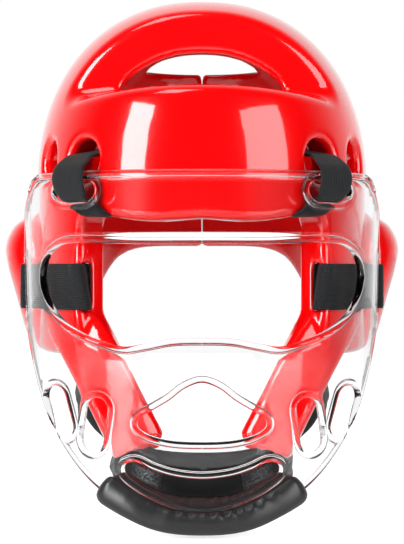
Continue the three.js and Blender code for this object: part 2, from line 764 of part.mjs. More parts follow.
// The groove goes up to past the roll, and down to just below the shield's edge.
function rimmedGroove(groove, gap) {
  const above = new THREE.SplineCurve(SHIELD_EDGE.map(({ y, z }) => new THREE.Vector2(y + gap, z - gap)));
  const outline = [...above.getPoints(24)];
  outline.push(new THREE.Vector2(-reach(), SHIELD_EDGE.at(-1).z - gap), new THREE.Vector2(-reach(), 0));
  outline.push(new THREE.Vector2(SHIELD_EDGE[0].y, 0));
  return groove.intersect(extrudedAlongX(outline, reach()));
}

// Straps

// Webbing is made of stations, and each holds a place and its width as a vector. This rounds
// every corner of a path by a bend.
function bent(stations, closed) {
  const path = [];
  stations.forEach(({ at, width }, i) => {
    if (!closed && (i === 0 || i === stations.length - 1)) {
      path.push({ at, width });
      return;
    }
    const before = stations.at(i - 1).at;
    const after = stations[(i + 1) % stations.length].at;
    const [start, end] = [before, after].map((other) => {
      const distance = at.distanceTo(other);
      return at.clone().lerp(other, Math.min(WEB.bend, 0.45 * distance) / distance);
    });
    const turn = at.clone().sub(before).angleTo(after.clone().sub(at));
    const curve = new THREE.QuadraticBezierCurve3(start, at, end);
    const points = turn > 0.35 ? curve.getPoints(3) : [curve.getPoint(0.5)];
    path.push(...points.map((point) => ({ at: point, width })));
  });
  return path;
}

function webbing(stations, thickness, closed) {
  const path = bent(stations, closed);
  const last = path.length - 1;
  const rings = path.map(({ at, width }, i) => {
    const before = closed ? path.at(i - 1) : path[Math.max(0, i - 1)];
    const after = closed ? path[(i + 1) % path.length] : path[Math.min(last, i + 1)];
    const out = after.at.clone().sub(before.at).cross(width).setLength(thickness / 2);
    const corners = [[0.5, 1], [-0.5, 1], [-0.5, -1], [0.5, -1]];
    return corners.map(([w, t]) => at.clone().addScaledVector(width, w).addScaledVector(out, t));
  });
  return loft(rings, closed);
}

// The loop from the vent over the shield's top edge, in through its slot, down behind it, under
// the brow and up inside the forehead.
function upperStrap() {
  const lift = WEB.thickness / 2 + WEB.clearance;
  const { wide, middling, narrow, turn, browInset } = UPPER_STRAP;
  const browX = FACE.halfWidth - browInset;
  const vent = VENTS[0];
  const slotAngle = shieldAngleAtX(STRAP_SLOT.x);
  const outside = RIM_BEAD.rise + lift;
  const behind = -SHIELD.thickness - RIM_BEAD.rise - lift;
  const slotZ = STRAP_SLOT.z - 1.5;
  const browZ = FACE.browZ + FACE.browRise - lift - 3;
  const mouthZ = vent.z - 2;
  const across = vector(Math.cos(radians(turn)), Math.sin(radians(turn)), 0);
  const browAngle = THREE.MathUtils.radToDeg(
    Math.acos((browX / SHELL.halfWidth) ** (SHELL.roundness / 2)),
  );
  const rows = [
    [shieldPoint(slotAngle, slotZ, outside), narrow],
    [shieldPoint(slotAngle, SHIELD_TOP.z - SHIELD_TOP.bead, outside), wide],
    [shieldPoint(slotAngle, SHIELD_TOP.z + lift + 0.5, outside), wide],
    [shieldPoint(slotAngle + 0.4, SHIELD_TOP.z + lift + 0.8, behind), middling],
    [shellPoint(vent.angle, mouthZ, 2), narrow],
    [shellPoint(vent.angle, mouthZ, -SHELL.wall - lift - 1.6), narrow],
    [shellPoint(browAngle, (mouthZ + browZ) / 2, -SHELL.wall - lift - 2), narrow],
    [shellPoint(browAngle + 1, browZ, -SHELL.wall - lift - 2), narrow],
    [shellPoint(browAngle, browZ, lift + 0.8), narrow],
    [shieldPoint(slotAngle + 2, slotZ - 4, behind - 1.5), middling],
    [shieldPoint(slotAngle, slotZ, behind - 1), narrow],
  ];
  const stations = rows.map(([at, width]) => ({ at, width: across.clone().setLength(width) }));
  return webbing(stations, WEB.thickness, true);
}

// The loop from the shield's side slot over its rear edge, through the slot before the ear,
// forwards inside the cheek, out through the slit in its edge and back outside it.
function sideStrap() {
  const lift = WEB.thickness / 2 + WEB.clearance;
  const { z, width } = SIDE_STRAP;
  const onWall = (y, offset) => shellPoint(shellAngleAtY(y, offset), z, offset);
  const inner = -SHELL.wall - lift;
  const ridge = cheekRidge(z);
  const inwards = vector(-FACE.taper, 1, 0).normalize();
  const offFace = vector(-1, -FACE.taper, 0).setLength(lift);
  const slit = cheekSlit();
  const slitStart = ridge.y + (ridge.x - slit.x) / FACE.taper;
  const insideY = (share) => THREE.MathUtils.lerp(EAR_SLOT.y, slit.to, share);
  const path = [
    shieldPoint(shieldAngleAtY(SIDE_SLOT.y), z, lift),
    shieldPoint(shieldAngleAtY(SHIELD_EDGE[0].y - 1), z, lift + 0.4),
    vector(onWall(EAR_SLOT.y, 0).x + 4, EAR_SLOT.y, z),
    vector(onWall(EAR_SLOT.y, inner).x, EAR_SLOT.y, z),
    onWall(insideY(0.45), inner),
    onWall(insideY(0.77), inner - 0.4),
    vector(slit.x, slit.to - 1, z),
    vector(slit.x, slitStart - 2.2 * lift, z),
    ridge.clone().addScaledVector(inwards, -lift).add(offFace),
    onWall(ridge.y + 6, lift + 0.3),
    onWall(ridge.y + 18, lift + 0.3),
    onWall(ridge.y + 30, lift),
    shieldPoint(shieldAngleAtY(SIDE_SLOT.y), z, -SHIELD.thickness - lift),
  ];
  return webbing(path.map((at) => ({ at, width: vector(0, 0, width) })), WEB.thickness, true);
}

// The elastic closure that bridges the split at the back.
function rearStrap() {
  const { z, height, halfLength, thickness } = REAR_STRAP;
  const at = (offset) => (u, v) => {
    const x = halfLength * (2 * u - 1);
    const cosine = (Math.abs(x) / SHELL.halfWidth) ** (SHELL.roundness / 2);
    const degrees = -THREE.MathUtils.radToDeg(Math.acos(cosine));
    const point = shellPoint(degrees, z + height * (v - 0.5), offset);
    return vector(Math.sign(x) * point.x, point.y, point.z);
  };
  return sheet(16, 4, at(CLEARANCE + thickness), at(CLEARANCE));
}

// The chin cup's centre line, from one end round the chin to the other.
function cupPoint(share) {
  const turn = radians(180 * share);
  const { halfWidth, depth, centreY, z, endRise } = CHIN_CUP;
  const x = -halfWidth * Math.cos(turn);
  return vector(x, centreY - depth * Math.sin(turn) ** 0.8, z + endRise * (x / halfWidth) ** 2);
}

function chinCup() {
  const steps = 15;
  const rings = [];
  for (let i = 0; i <= steps; i++) {
    const share = 0.03 + (0.94 * i) / steps;
    const centre = cupPoint(share);
    const along = cupPoint(share + 0.01).sub(cupPoint(share - 0.01)).normalize();
    const out = vector(along.y, -along.x, 0).normalize();
    const up = out.clone().cross(along).normalize();
    const end = Math.min(i, steps - i);
    const slim = end === 0 ? 0.45 : end === 1 ? 0.8 : 1;
    rings.push(roundedRing(centre, up, out, CHIN_CUP.height * slim, CHIN_CUP.thickness * slim));
  }
  return loft(rings);
}

function chinStrap() {
  const { width, thickness } = CHIN_STRAP;
  const onCup = ({ along, inFront, above }) => {
    const middle = cupPoint(1 - along);
    return vector(middle.x, middle.y - inFront, middle.z + above);
  };
  const points = [
    ...CHIN_STRAP_ROWS.map(({ angle, z, inset }) => shellPoint(angle, z, -inset)),
    ...CHIN_STRAP_ENDS.map(onCup),
  ];
  const stations = [...CHIN_STRAP_ROWS, ...CHIN_STRAP_ENDS].map(({ turn }, i) => {
    const [before, after] = [points[Math.max(0, i - 1)], points[Math.min(points.length - 1, i + 1)]];
    const facing = vector(Math.sin(radians(turn)), -Math.cos(radians(turn)), 0);
    return { at: points[i], width: facing.cross(after.clone().sub(before)).setLength(width) };
  });
  return webbing(stations, thickness, false);
}

// The assembly

const headgear = new THREE.Group();
headgear.name = 'headgear';

function addPiece(name, solid, finish) {
  const mesh = new THREE.Mesh(geometryOf(solid), new THREE.MeshStandardMaterial(finish));
  mesh.name = name;
  headgear.add(mesh);
}

function addPair(name, solid, finish) {
  addPiece(`${name}_right`, solid, finish);
  addPiece(`${name}_left`, mirrored(solid), finish);
}

addPiece('foam_shell', shell(), FOAM_RED);
addPiece('face_shield', shield(), CLEAR_SHEET);
addPiece('chin_roll', chinRoll(), ROLL_BLACK);
addPiece('chin_cup', chinCup(), ROLL_BLACK);
addPiece('rear_strap', rearStrap(), WEB_BLACK);
addPair('upper_strap', upperStrap(), WEB_BLACK);
addPair('side_strap', sideStrap(), WEB_BLACK);
addPair('chin_strap', chinStrap(), WEB_BLACK);

export default headgear;
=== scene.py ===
# The looks of a taekwondo headgear: a shell of dipped foam, a clear face shield, black webbing,
# a padded roll on the shield's lower edge and a padded chin cup. Lengths are in millimetres up to
# the moment that a mesh is made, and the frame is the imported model's: the face looks along -Y,
# and the origin is the top of the hollow.

import math

import bmesh
import bpy
import numpy as np
from mathutils.geometry import delaunay_2d_cdt
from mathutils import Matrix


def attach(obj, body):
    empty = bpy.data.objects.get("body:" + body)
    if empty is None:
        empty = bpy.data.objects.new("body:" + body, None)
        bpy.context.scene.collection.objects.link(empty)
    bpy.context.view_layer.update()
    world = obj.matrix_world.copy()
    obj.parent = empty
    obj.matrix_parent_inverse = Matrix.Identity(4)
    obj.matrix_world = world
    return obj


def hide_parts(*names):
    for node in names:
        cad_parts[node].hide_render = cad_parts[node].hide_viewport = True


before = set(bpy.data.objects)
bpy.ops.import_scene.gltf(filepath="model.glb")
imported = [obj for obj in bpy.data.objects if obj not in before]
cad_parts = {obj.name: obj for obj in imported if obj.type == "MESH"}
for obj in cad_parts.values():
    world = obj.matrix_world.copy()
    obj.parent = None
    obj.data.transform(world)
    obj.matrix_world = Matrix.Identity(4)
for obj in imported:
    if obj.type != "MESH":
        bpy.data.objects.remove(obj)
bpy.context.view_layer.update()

MM = 0.001
BODY = "root"

# Sizes of the headgear

HALF_WIDTH, FRONT, BACK = 96.5, 119.0, 125.0
DOME_HEIGHT, WALL, ROUNDNESS = 110.0, 20.0, 2.2
EQUATOR = WALL - DOME_HEIGHT

# Where the crown's front and rear faces are cut: the edge's height, how much it drops towards the
# sides over dropWidth, the crown face's y and the radius between the two.
FOREHEAD_TOP = {"z": -38, "side_drop": 5, "drop_width": 68, "crown_y": -66, "corner": 9}
REAR_TOP = {"z": -13, "side_drop": 0, "drop_width": 50, "crown_y": 42, "corner": 9}
CROWN_HOLE = {"y": -12, "half_width": 27, "half_depth": 17}
REAR_SPLIT = 0.5

FACE = {"half_width": 66, "corner": 9, "taper": 0.86}
BROW_ROWS = [(0, -110.0), (23, -111.2), (40, -108.8), (57, -106.0), (66, -106.0), (90, -106.0)]
RIM_CORNERS = [(-300, -183), (36, -183), (89, -121), (300, -121)]
RIM_RADII = (26, 20)

# angle round the shell, height, half width, half height, radius of the dished rim
VENTS = [
    (49.5, -78, 11, 11.5, 5.0),
    (27.5, -77, 11.5, 11.5, 5.0),
    (-5, -136, 8, 8, 3.0),
]

EAR_Y = 14.0
# z, how far the pad stands out, its half length
EAR_ROWS = [
    (-100, 1.5, 12),
    (-103, 5, 17),
    (-106, 9.5, 22),
    (-109, 14, 27),
    (-115, 18.5, 32),
    (-123, 21, 36),
    (-134, 19.5, 38),
    (-146, 16, 38),
    (-158, 12.5, 36),
    (-170, 9, 32),
    (-180, 5.5, 27),
    (-186, 2.5, 23),
]

# lean says how far its outer face turns to the side, at the cheek and at the chin
JAW = {"width": 29.5, "thickness": 18.0, "corner": 4.5, "lean": (0.8, -0.5)}
# angle round the shell, height, how far inside the surface
JAW_ROWS = [
    (27, -150, 11),
    (37.5, -164, 10.5),
    (50.9, -186, 10),
    (59.4, -209, 12.5),
    (65.5, -230, 19),
]

SHIELD = {"thickness": 2.6, "side_gap": 5, "front_gap": 9, "centre_y": -20, "roundness": 2.3}
SHIELD_TOP = -84.5
# z, how far the sides draw in, how far the front draws in
SHIELD_ROWS = [(-80, 0, 0), (-140, 0, 0), (-198, 2.5, 0), (-248, 6.5, 2), (-280, 10.5, 4)]
# y and z of its upper rear corner and of its lower edge
SHIELD_CORNER = [
    (-78, -84.5),
    (-71, -86.5),
    (-64, -91.5),
    (-53, -98.5),
    (-42, -105),
    (-35, -116),
    (-34, -132),
]
SHIELD_EDGE = [
    (-34, -152),
    (-39, -164),
    (-53, -175),
    (-66, -191),
    (-80, -212),
    (-98, -235),
    (-110, -251),
    (-119, -262),
    (-125, -270.5),
    (-132, -272),
]
EYE_OUTLINE = [
    (0, -123.5),
    (34, -123.5),
    (66, -122.5),
    (76, -123.7),
    (83.5, -129.3),
    (86.8, -139),
    (84.6, -150.5),
    (77.8, -160.8),
    (65.5, -169.3),
    (52, -174.5),
    (41, -176.8),
    (31, -175.3),
    (16, -172.5),
    (0, -172),
]
BREATHER_OUTLINE = [
    (0, -195.5),
    (9, -198.5),
    (17, -204.5),
    (27, -210.5),
    (33.5, -214.5),
    (34, -218.5),
    (29, -222),
    (18, -225),
    (0, -226),
]
MOUTH_OUTLINE = [
    (0, -245.5),
    (16, -243.8),
    (27, -240.5),
    (35, -237.2),
    (40.5, -238.5),
    (41, -242.5),
    (34, -248.5),
    (22, -254.5),
    (10, -258.3),
    (0, -259.2),
]
# x, z, half width, half height, lean of the top outwards
OBLONG_SLOTS = [(57, -218.5, 6, 14.5, -8), (77, -213, 6, 14, 16), (68.4, -95, 11.5, 6, 0)]
SIDE_SLOT = {"y": -46, "z": -146, "half_length": 4, "half_height": 15}
BEAD = {"width": 4.0, "rise": 1.1, "slot_rise": 0.7, "plain_rise": 0.45}

WEB = {"thickness": 2.0, "clearance": 0.8, "bend": 3.0}
UPPER_STRAP = {"turn": 36.0, "brow_x": 56.0}
SIDE_STRAP = {"width": 25.0, "z": -146.0, "lean": 4.6}
EAR_SLOT = {"y": -27, "half_width": 4, "half_height": 15}
CHEEK_SLIT = {"x": 62.6, "half_width": 2.2, "half_height": 13.0, "from": -96, "to": -57}
REAR_STRAP = {"z": -70.0, "height": 42.0, "half_length": 50.0, "thickness": 2.5, "gap": 0.4}
CHIN_CUP = {
    "half_width": 48.5,
    "depth": 34.0,
    "centre_y": -47.0,
    "height": 30.0,
    "thickness": 8.0,
    "z": -249.0,
    "end_rise": 11.0,
}
# Hook-and-loop pile on the cup: from which x to which, and the heights of its pad
PILE = {"from_x": 20.0, "to_x": 36.0, "heights": [-10.0, -7.0, -4.0, -1.0, 2.0]}
CHIN_STRAP = {"width": 25.0, "thickness": 2.5}
# angle round the shell, height, how far inside the surface, how far the flat side is turned
CHIN_STRAP_ROWS = [
    (21.9, -167, 23.8, 62),
    (29, -182, 23.8, 57),
    (40.5, -201.5, 16.9, 40),
    (46.5, -215.5, 22, 38),
]
# It ends against the cup: how far along the cup, how far in front of its middle line, how far
# above it, and how far the flat side is turned.
CHIN_STRAP_ENDS = [(0.16, 7.8, 13.5, 40), (0.2, 7.2, 0.2, 38)]
ROLL = {"half_width": 54.0, "gap": 0.4, "rise_to_ends": 0.6}


# Camera, stage and light

CAMERA_DISTANCE = 1000.0
CAMERA_HEIGHT = -138.0
FOCAL_PIXELS = 1686.0
FRAME_HEIGHT = 544.0
FLOOR_Z = -276.0


def add_camera():
    data = bpy.data.cameras.new("camera")
    data.sensor_width = 36.0
    data.lens = 36.0 * FOCAL_PIXELS / FRAME_HEIGHT
    camera = bpy.data.objects.new("camera", data)
    camera.location = (0, -CAMERA_DISTANCE * MM, CAMERA_HEIGHT * MM)
    camera.rotation_euler = (math.radians(90), 0, 0)
    bpy.context.scene.collection.objects.link(camera)
    bpy.context.scene.camera = camera


def add_softbox(name, azimuth, distance, height, size, power, aim_z=-0.11):
    data = bpy.data.lights.new(name, "AREA")
    data.shape = "RECTANGLE"
    data.size, data.size_y = size
    data.energy = power
    lamp = bpy.data.objects.new(name, data)
    turn = math.radians(azimuth)
    lamp.location = (distance * math.sin(turn), -distance * math.cos(turn), height)
    towards = -lamp.location
    towards.z += aim_z
    lamp.rotation_mode = "QUATERNION"
    lamp.rotation_quaternion = towards.to_track_quat("-Z", "Y")
    bpy.context.scene.collection.objects.link(lamp)
    return lamp


def keep_glare_off(piece):
    """The softboxes don't mirror in the clear sheet, as when they are flagged off it in a studio."""
    spared = bpy.data.collections.new("spared_from_glare")
    spared.objects.link(piece)
    spared.collection_objects[0].light_linking.link_state = "EXCLUDE"
    for lamp in SOFTBOXES:
        lamp.light_linking.receiver_collection = spared


def add_floor():
    half = 3.0
    mesh = bpy.data.meshes.new("floor")
    corners = [(-half, -half, 0), (half, -half, 0), (half, half, 0), (-half, half, 0)]
    mesh.from_pydata([(x, y, FLOOR_Z * MM) for x, y, _ in corners], [], [(0, 1, 2, 3)])
    floor = bpy.data.objects.new("floor", mesh)
    bpy.context.scene.collection.objects.link(floor)
    material = bpy.data.materials.new("pale_floor")
    material.use_nodes = True
    shader = material.node_tree.nodes["Principled BSDF"]
    shader.inputs["Base Color"].default_value = (0.92, 0.92, 0.925, 1)
    shader.inputs["Roughness"].default_value = 0.22
    shader.inputs["Emission Color"].default_value = (1, 1, 1, 1)
    tree = material.node_tree
    path = tree.nodes.new("ShaderNodeLightPath")
    glow = tree.nodes.new("ShaderNodeMix")
    glow.data_type = "FLOAT"
    glow.inputs["A"].default_value, glow.inputs["B"].default_value = 0.05, 0.5
    seen = tree.nodes.new("ShaderNodeMath")
    seen.operation = "MAXIMUM"
    tree.links.new(path.outputs["Is Camera Ray"], seen.inputs[0])
    tree.links.new(path.outputs["Is Transmission Ray"], seen.inputs[1])
    # straight through the clear sheet is two steps, and longer ways are reflections
    straight = tree.nodes.new("ShaderNodeMath")
    straight.operation = "LESS_THAN"
    straight.inputs[1].default_value = 2.5
    tree.links.new(path.outputs["Ray Depth"], straight.inputs[0])
    both = tree.nodes.new("ShaderNodeMath")
    both.operation = "MULTIPLY"
    tree.links.new(seen.outputs[0], both.inputs[0])
    tree.links.new(straight.outputs[0], both.inputs[1])
    tree.links.new(both.outputs[0], glow.inputs["Factor"])
    tree.links.new(glow.outputs["Result"], shader.inputs["Emission Strength"])
    mesh.materials.append(material)


def set_world():
    """White all round for the camera. For light and reflections, the side that the face looks at
    is dimmer, as a studio is behind the camera."""
    world = bpy.data.worlds.new("studio")
    bpy.context.scene.world = world
    world.use_nodes = True
    tree = world.node_tree
    tree.nodes.clear()
    place = tree.nodes.new("ShaderNodeTexCoord")
    split = tree.nodes.new("ShaderNodeSeparateXYZ")
    tree.links.new(place.outputs["Generated"], split.inputs[0])
    ramp = tree.nodes.new("ShaderNodeMapRange")
    ramp.interpolation_type = "SMOOTHSTEP"
    for name, value in (("From Min", -0.1), ("From Max", 0.95), ("To Min", 0.03), ("To Max", 1.0)):
        ramp.inputs[name].default_value = value
    tree.links.new(split.outputs["Y"], ramp.inputs["Value"])
    path = tree.nodes.new("ShaderNodeLightPath")
    strength = tree.nodes.new("ShaderNodeMix")
    strength.data_type = "FLOAT"
    strength.inputs["B"].default_value = 1.0
    tree.links.new(path.outputs["Is Camera Ray"], strength.inputs["Factor"])
    tree.links.new(ramp.outputs["Result"], strength.inputs["A"])
    background = tree.nodes.new("ShaderNodeBackground")
    background.inputs["Color"].default_value = (1, 1, 1, 1)
    tree.links.new(strength.outputs["Result"], background.inputs["Strength"])
    output = tree.nodes.new("ShaderNodeOutputWorld")
    tree.links.new(background.outputs[0], output.inputs["Surface"])


add_camera()
add_floor()
set_world()
bpy.context.scene.view_settings.view_transform = "Standard"
SOFTBOXES = [
    add_softbox("softbox_left", -45, 1.3, 0.15, (0.44, 1.5), 31),
    add_softbox("softbox_right", 43, 1.3, 0.15, (0.75, 1.4), 17),
    add_softbox("softbox_top", -32, 0.5, 1.1, (0.35, 0.5), 2.5),
]


# Curves and tables


def smooth_table(rows, column, steps=600):
    """A smooth function through the rows' first column and the given one."""
    rows = sorted(rows)
    x = np.array([row[0] for row in rows], float)
    y = np.array([row[column] for row in rows], float)
    slope = np.gradient(y, x)
    at = np.linspace(x[0], x[-1], steps)
    i = np.clip(np.searchsorted(x, at, side="right") - 1, 0, len(x) - 2)
    step = x[i + 1] - x[i]
    t = (at - x[i]) / step
    value = (
        y[i] * (1 + 2 * t) * (1 - t) ** 2
        + slope[i] * step * t * (1 - t) ** 2
        + y[i + 1] * t * t * (3 - 2 * t)
        - slope[i + 1] * step * t * t * (1 - t)
    )
    return lambda key: np.interp(key, at, value)


def spline(points, closed=False, per_span=24):
    """A smooth curve through points, which bends as little as their spacing allows."""
    points = np.asarray(points, float)
    if closed:
        ring = np.vstack([points[-1:], points, points[:2]])
    else:
        first = 2 * points[:1] - points[1:2]
        last = 2 * points[-1:] - points[-2:-1]
        ring = np.vstack([first, points, last])
    curve = []
    for a, b, c, d in zip(ring, ring[1:], ring[2:], ring[3:]):
        k = np.cumsum([0] + [max(1e-6, np.linalg.norm(v)) ** 0.5 for v in (b - a, c - b, d - c)])
        t = np.linspace(k[1], k[2], per_span, endpoint=False)[:, None]
        ab = a * (k[1] - t) / (k[1] - k[0]) + b * (t - k[0]) / (k[1] - k[0])
        bc = b * (k[2] - t) / (k[2] - k[1]) + c * (t - k[1]) / (k[2] - k[1])
        cd = c * (k[3] - t) / (k[3] - k[2]) + d * (t - k[2]) / (k[3] - k[2])
        abc = ab * (k[2] - t) / (k[2] - k[0]) + bc * (t - k[0]) / (k[2] - k[0])
        bcd = bc * (k[3] - t) / (k[3] - k[1]) + cd * (t - k[1]) / (k[3] - k[1])
        curve.append(abc * (k[2] - t) / (k[2] - k[1]) + bcd * (t - k[1]) / (k[2] - k[1]))
    curve = np.vstack(curve)
    return curve if closed else np.vstack([curve, points[-1:]])


def even(curve, spacing, closed=False):
    """The same curve with its points a fixed distance apart."""
    curve = np.asarray(curve, float)
    if closed:
        curve = np.vstack([curve, curve[:1]])
    length = np.concatenate([[0], np.cumsum(np.linalg.norm(np.diff(curve, axis=0), axis=1))])
    count = max(4, int(round(length[-1] / spacing)))
    at = np.linspace(0, length[-1], count + 1)
    found = np.stack([np.interp(at, length, curve[:, i]) for i in range(curve.shape[1])], axis=1)
    return found[:-1] if closed else found


def unit(v):
    return v / np.maximum(np.linalg.norm(v, axis=-1, keepdims=True), 1e-9)


# Surfaces that the pieces follow


def bend(value, roundness):
    return np.sign(value) * np.abs(value) ** (2 / roundness)


def shell_point(degrees, z, offset=0.0):
    """A point of the shell's surface. Angle 0 is on the side of +X, and 90 degrees is the front."""
    turn = np.radians(degrees)
    above = max(0.0, z - EQUATOR) / (DOME_HEIGHT + offset)
    shrink = max(0.0, 1 - above**ROUNDNESS) ** (1 / ROUNDNESS)
    depth = (FRONT if math.sin(turn) > 0 else BACK) + offset
    x = (HALF_WIDTH + offset) * bend(math.cos(turn), ROUNDNESS)
    y = -depth * bend(math.sin(turn), ROUNDNESS)
    return np.array([x * shrink, y * shrink, z])


def shell_angle_at_y(y, offset=0.0):
    depth = (FRONT if y < 0 else BACK) + offset
    sine = min(1.0, abs(y) / depth) ** (ROUNDNESS / 2)
    return -math.copysign(1, y) * math.degrees(math.asin(sine))


def cheek_ridge(z):
    share = (FACE["half_width"] / HALF_WIDTH) ** ROUNDNESS
    return np.array([FACE["half_width"], -FRONT * (1 - share) ** (1 / ROUNDNESS), z])


side_in = smooth_table(SHIELD_ROWS, 1)
front_in = smooth_table(SHIELD_ROWS, 2)
shield_edge_z = smooth_table(SHIELD_EDGE, 1)


def shield_point(degrees, z, offset=0.0):
    turn = np.radians(degrees)
    half_width = HALF_WIDTH + SHIELD["side_gap"] - side_in(z) + offset
    depth = FRONT + SHIELD["front_gap"] + SHIELD["centre_y"] - front_in(z) + offset
    x = half_width * bend(np.cos(turn), SHIELD["roundness"])
    y = SHIELD["centre_y"] - depth * bend(np.sin(turn), SHIELD["roundness"])
    return np.stack(np.broadcast_arrays(x, y, z), axis=-1)


def shield_angle_at_x(x, z=-140.0):
    half_width = HALF_WIDTH + SHIELD["side_gap"] - side_in(z)
    share = np.clip(np.abs(x) / half_width, 0, 1) ** (SHIELD["roundness"] / 2)
    angle = np.degrees(np.arccos(share))
    return np.where(np.asarray(x) < 0, 180 - angle, angle)


def shield_angle_at_y(y, z=-140.0):
    depth = FRONT + SHIELD["front_gap"] + SHIELD["centre_y"] - front_in(z)
    share = np.clip((SHIELD["centre_y"] - y) / depth, 0, 1) ** (SHIELD["roundness"] / 2)
    return np.degrees(np.arcsin(share))


# Making meshes


def make_piece(name, points, faces, smooth=True):
    mesh = bpy.data.meshes.new(name)
    mesh.from_pydata((np.asarray(points) * MM).tolist(), [], [list(f) for f in faces])
    mesh.validate()
    mesh.update()
    mesh.shade_smooth() if smooth else mesh.shade_flat()
    piece = bpy.data.objects.new(name, mesh)
    bpy.context.scene.collection.objects.link(piece)
    return piece


def finish_piece(piece, material, replaced=()):
    if material is not None:
        piece.data.materials.clear()
        piece.data.materials.append(material)
    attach(piece, BODY)
    if replaced:
        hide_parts(*replaced)
    return piece


def mirror_piece(piece, name):
    """The same piece on the other side, with its faces turned the right way out again."""
    mesh = piece.data.copy()
    mesh.name = name
    other = bpy.data.objects.new(name, mesh)
    bpy.context.scene.collection.objects.link(other)
    cells = bmesh.new()
    cells.from_mesh(mesh)
    for vertex in cells.verts:
        vertex.co.x = -vertex.co.x
    bmesh.ops.reverse_faces(cells, faces=cells.faces)
    cells.to_mesh(mesh)
    cells.free()
    return other


# The foam shell, as a distance field whose edges are rounded


def round_and(a, b, radius):
    """Where both fields are inside, with the edge between them rounded."""
    corner = np.hypot(np.maximum(radius + a, 0), np.maximum(radius + b, 0))
    return np.minimum(-radius, np.maximum(a, b)) + corner


def round_or(a, b, radius):
    return -round_and(-a, -b, radius)


def power_field(parts, exponent):
    """The distance to a rounded ellipse. Each part is a coordinate and its half size."""
    total = sum(np.abs(value / half) ** exponent for value, half in parts)
    total = np.maximum(total, 1e-9)
    slopes = sum((np.abs(value / half) ** (exponent - 1) / half) ** 2 for value, half in parts)
    level = total ** (1 / exponent)
    steepness = np.maximum(total ** (1 / exponent - 1) * np.sqrt(slopes), 1e-4)
    return (level - 1) / steepness


def dome_field(x, y, z, offset):
    depth = np.where(y < 0, FRONT, BACK) + offset
    above = np.maximum(0, z - EQUATOR)
    parts = [(x, HALF_WIDTH + offset), (y, depth), (above, DOME_HEIGHT + offset)]
    return power_field(parts, ROUNDNESS)


def step_field(x, y, z, edge, away):
    level = edge["z"] - edge["side_drop"] * (x / edge["drop_width"]) ** 2
    return round_and(level - z, -away * (y - edge["crown_y"]), edge["corner"])


brow_height = smooth_table(BROW_ROWS, 1)


def face_field(x, y, z):
    ridge = cheek_ridge(0)[1]
    inward = np.clip(y - ridge, -1.2 * WALL, 1.4 * WALL)
    half = FACE["half_width"] - FACE["taper"] * inward
    across = (np.abs(x) - half) / math.hypot(1, FACE["taper"])
    below = z - brow_height(np.abs(x) * FACE["half_width"] / half)
    opening = round_and(across, below, FACE["corner"])
    return np.maximum(opening, y + 0.3 * FRONT)


def rim_table():
    corners = np.array(RIM_CORNERS, float)
    path = [corners[0]]
    for n, radius in zip((1, 2), RIM_RADII):
        start = corners[n] + unit(corners[n - 1] - corners[n]) * radius
        end = corners[n] + unit(corners[n + 1] - corners[n]) * radius
        for t in np.linspace(0, 1, 13):
            path.append(start * (1 - t) ** 2 + 2 * corners[n] * t * (1 - t) + end * t * t)
    path.append(corners[3])
    return np.array(path)


RIM_PATH = rim_table()


def rim_field(y, z):
    height = np.interp(y, RIM_PATH[:, 0], RIM_PATH[:, 1])
    slope = (np.interp(y + 1, RIM_PATH[:, 0], RIM_PATH[:, 1]) - height) / 1.0
    return (z - height) / np.sqrt(1 + slope**2)


ear_out = smooth_table(EAR_ROWS, 1)
ear_half = smooth_table(EAR_ROWS, 2)


def ear_level(x, y, z):
    above = np.maximum(0, z - EQUATOR) / DOME_HEIGHT
    depth = np.where(y < 0, FRONT, BACK)
    rest = np.maximum(0, 1 - np.abs(y / depth) ** ROUNDNESS - above**ROUNDNESS)
    wall = HALF_WIDTH * rest ** (1 / ROUNDNESS)
    out = (np.abs(x) - wall) / ear_out(z)
    along = (y - EAR_Y) / ear_half(z)
    return along**2 + np.sign(out) * np.abs(out) ** 2.67 - 1


def ear_field(x, y, z):
    level = ear_level(x, y, z)
    step = 0.5
    slopes = [
        ear_level(x + step, y, z) - ear_level(x - step, y, z),
        ear_level(x, y + step, z) - ear_level(x, y - step, z),
        ear_level(x, y, z + step) - ear_level(x, y, z - step),
    ]
    steepness = np.sqrt(sum(s * s for s in slopes)) / (2 * step)
    pad = level / np.maximum(steepness, 0.03)
    root = HALF_WIDTH - 9 - np.abs(x)
    ends = np.maximum(z + 101, -186 - z)
    return round_and(np.maximum(pad, root), ends, 3.0)


def jaw_frames(steps=48):
    centres = [shell_point(angle, z, -inset) for angle, z, inset in JAW_ROWS]
    line = even(spline(centres), 1.0)
    line = even(line, np.linalg.norm(np.diff(line, axis=0), axis=1).sum() / steps)
    along = unit(np.gradient(line, axis=0))
    lean = np.linspace(*JAW["lean"], len(line))
    sideways, forwards = lean * line[:, 0] / HALF_WIDTH, line[:, 1] / FRONT
    outward = unit(np.stack([sideways, forwards, 0 * sideways], axis=1))
    across = unit(np.cross(along, outward))
    return line, along, across, unit(np.cross(across, along))


JAW_LINE, JAW_ALONG, JAW_ACROSS, JAW_OUT = jaw_frames()


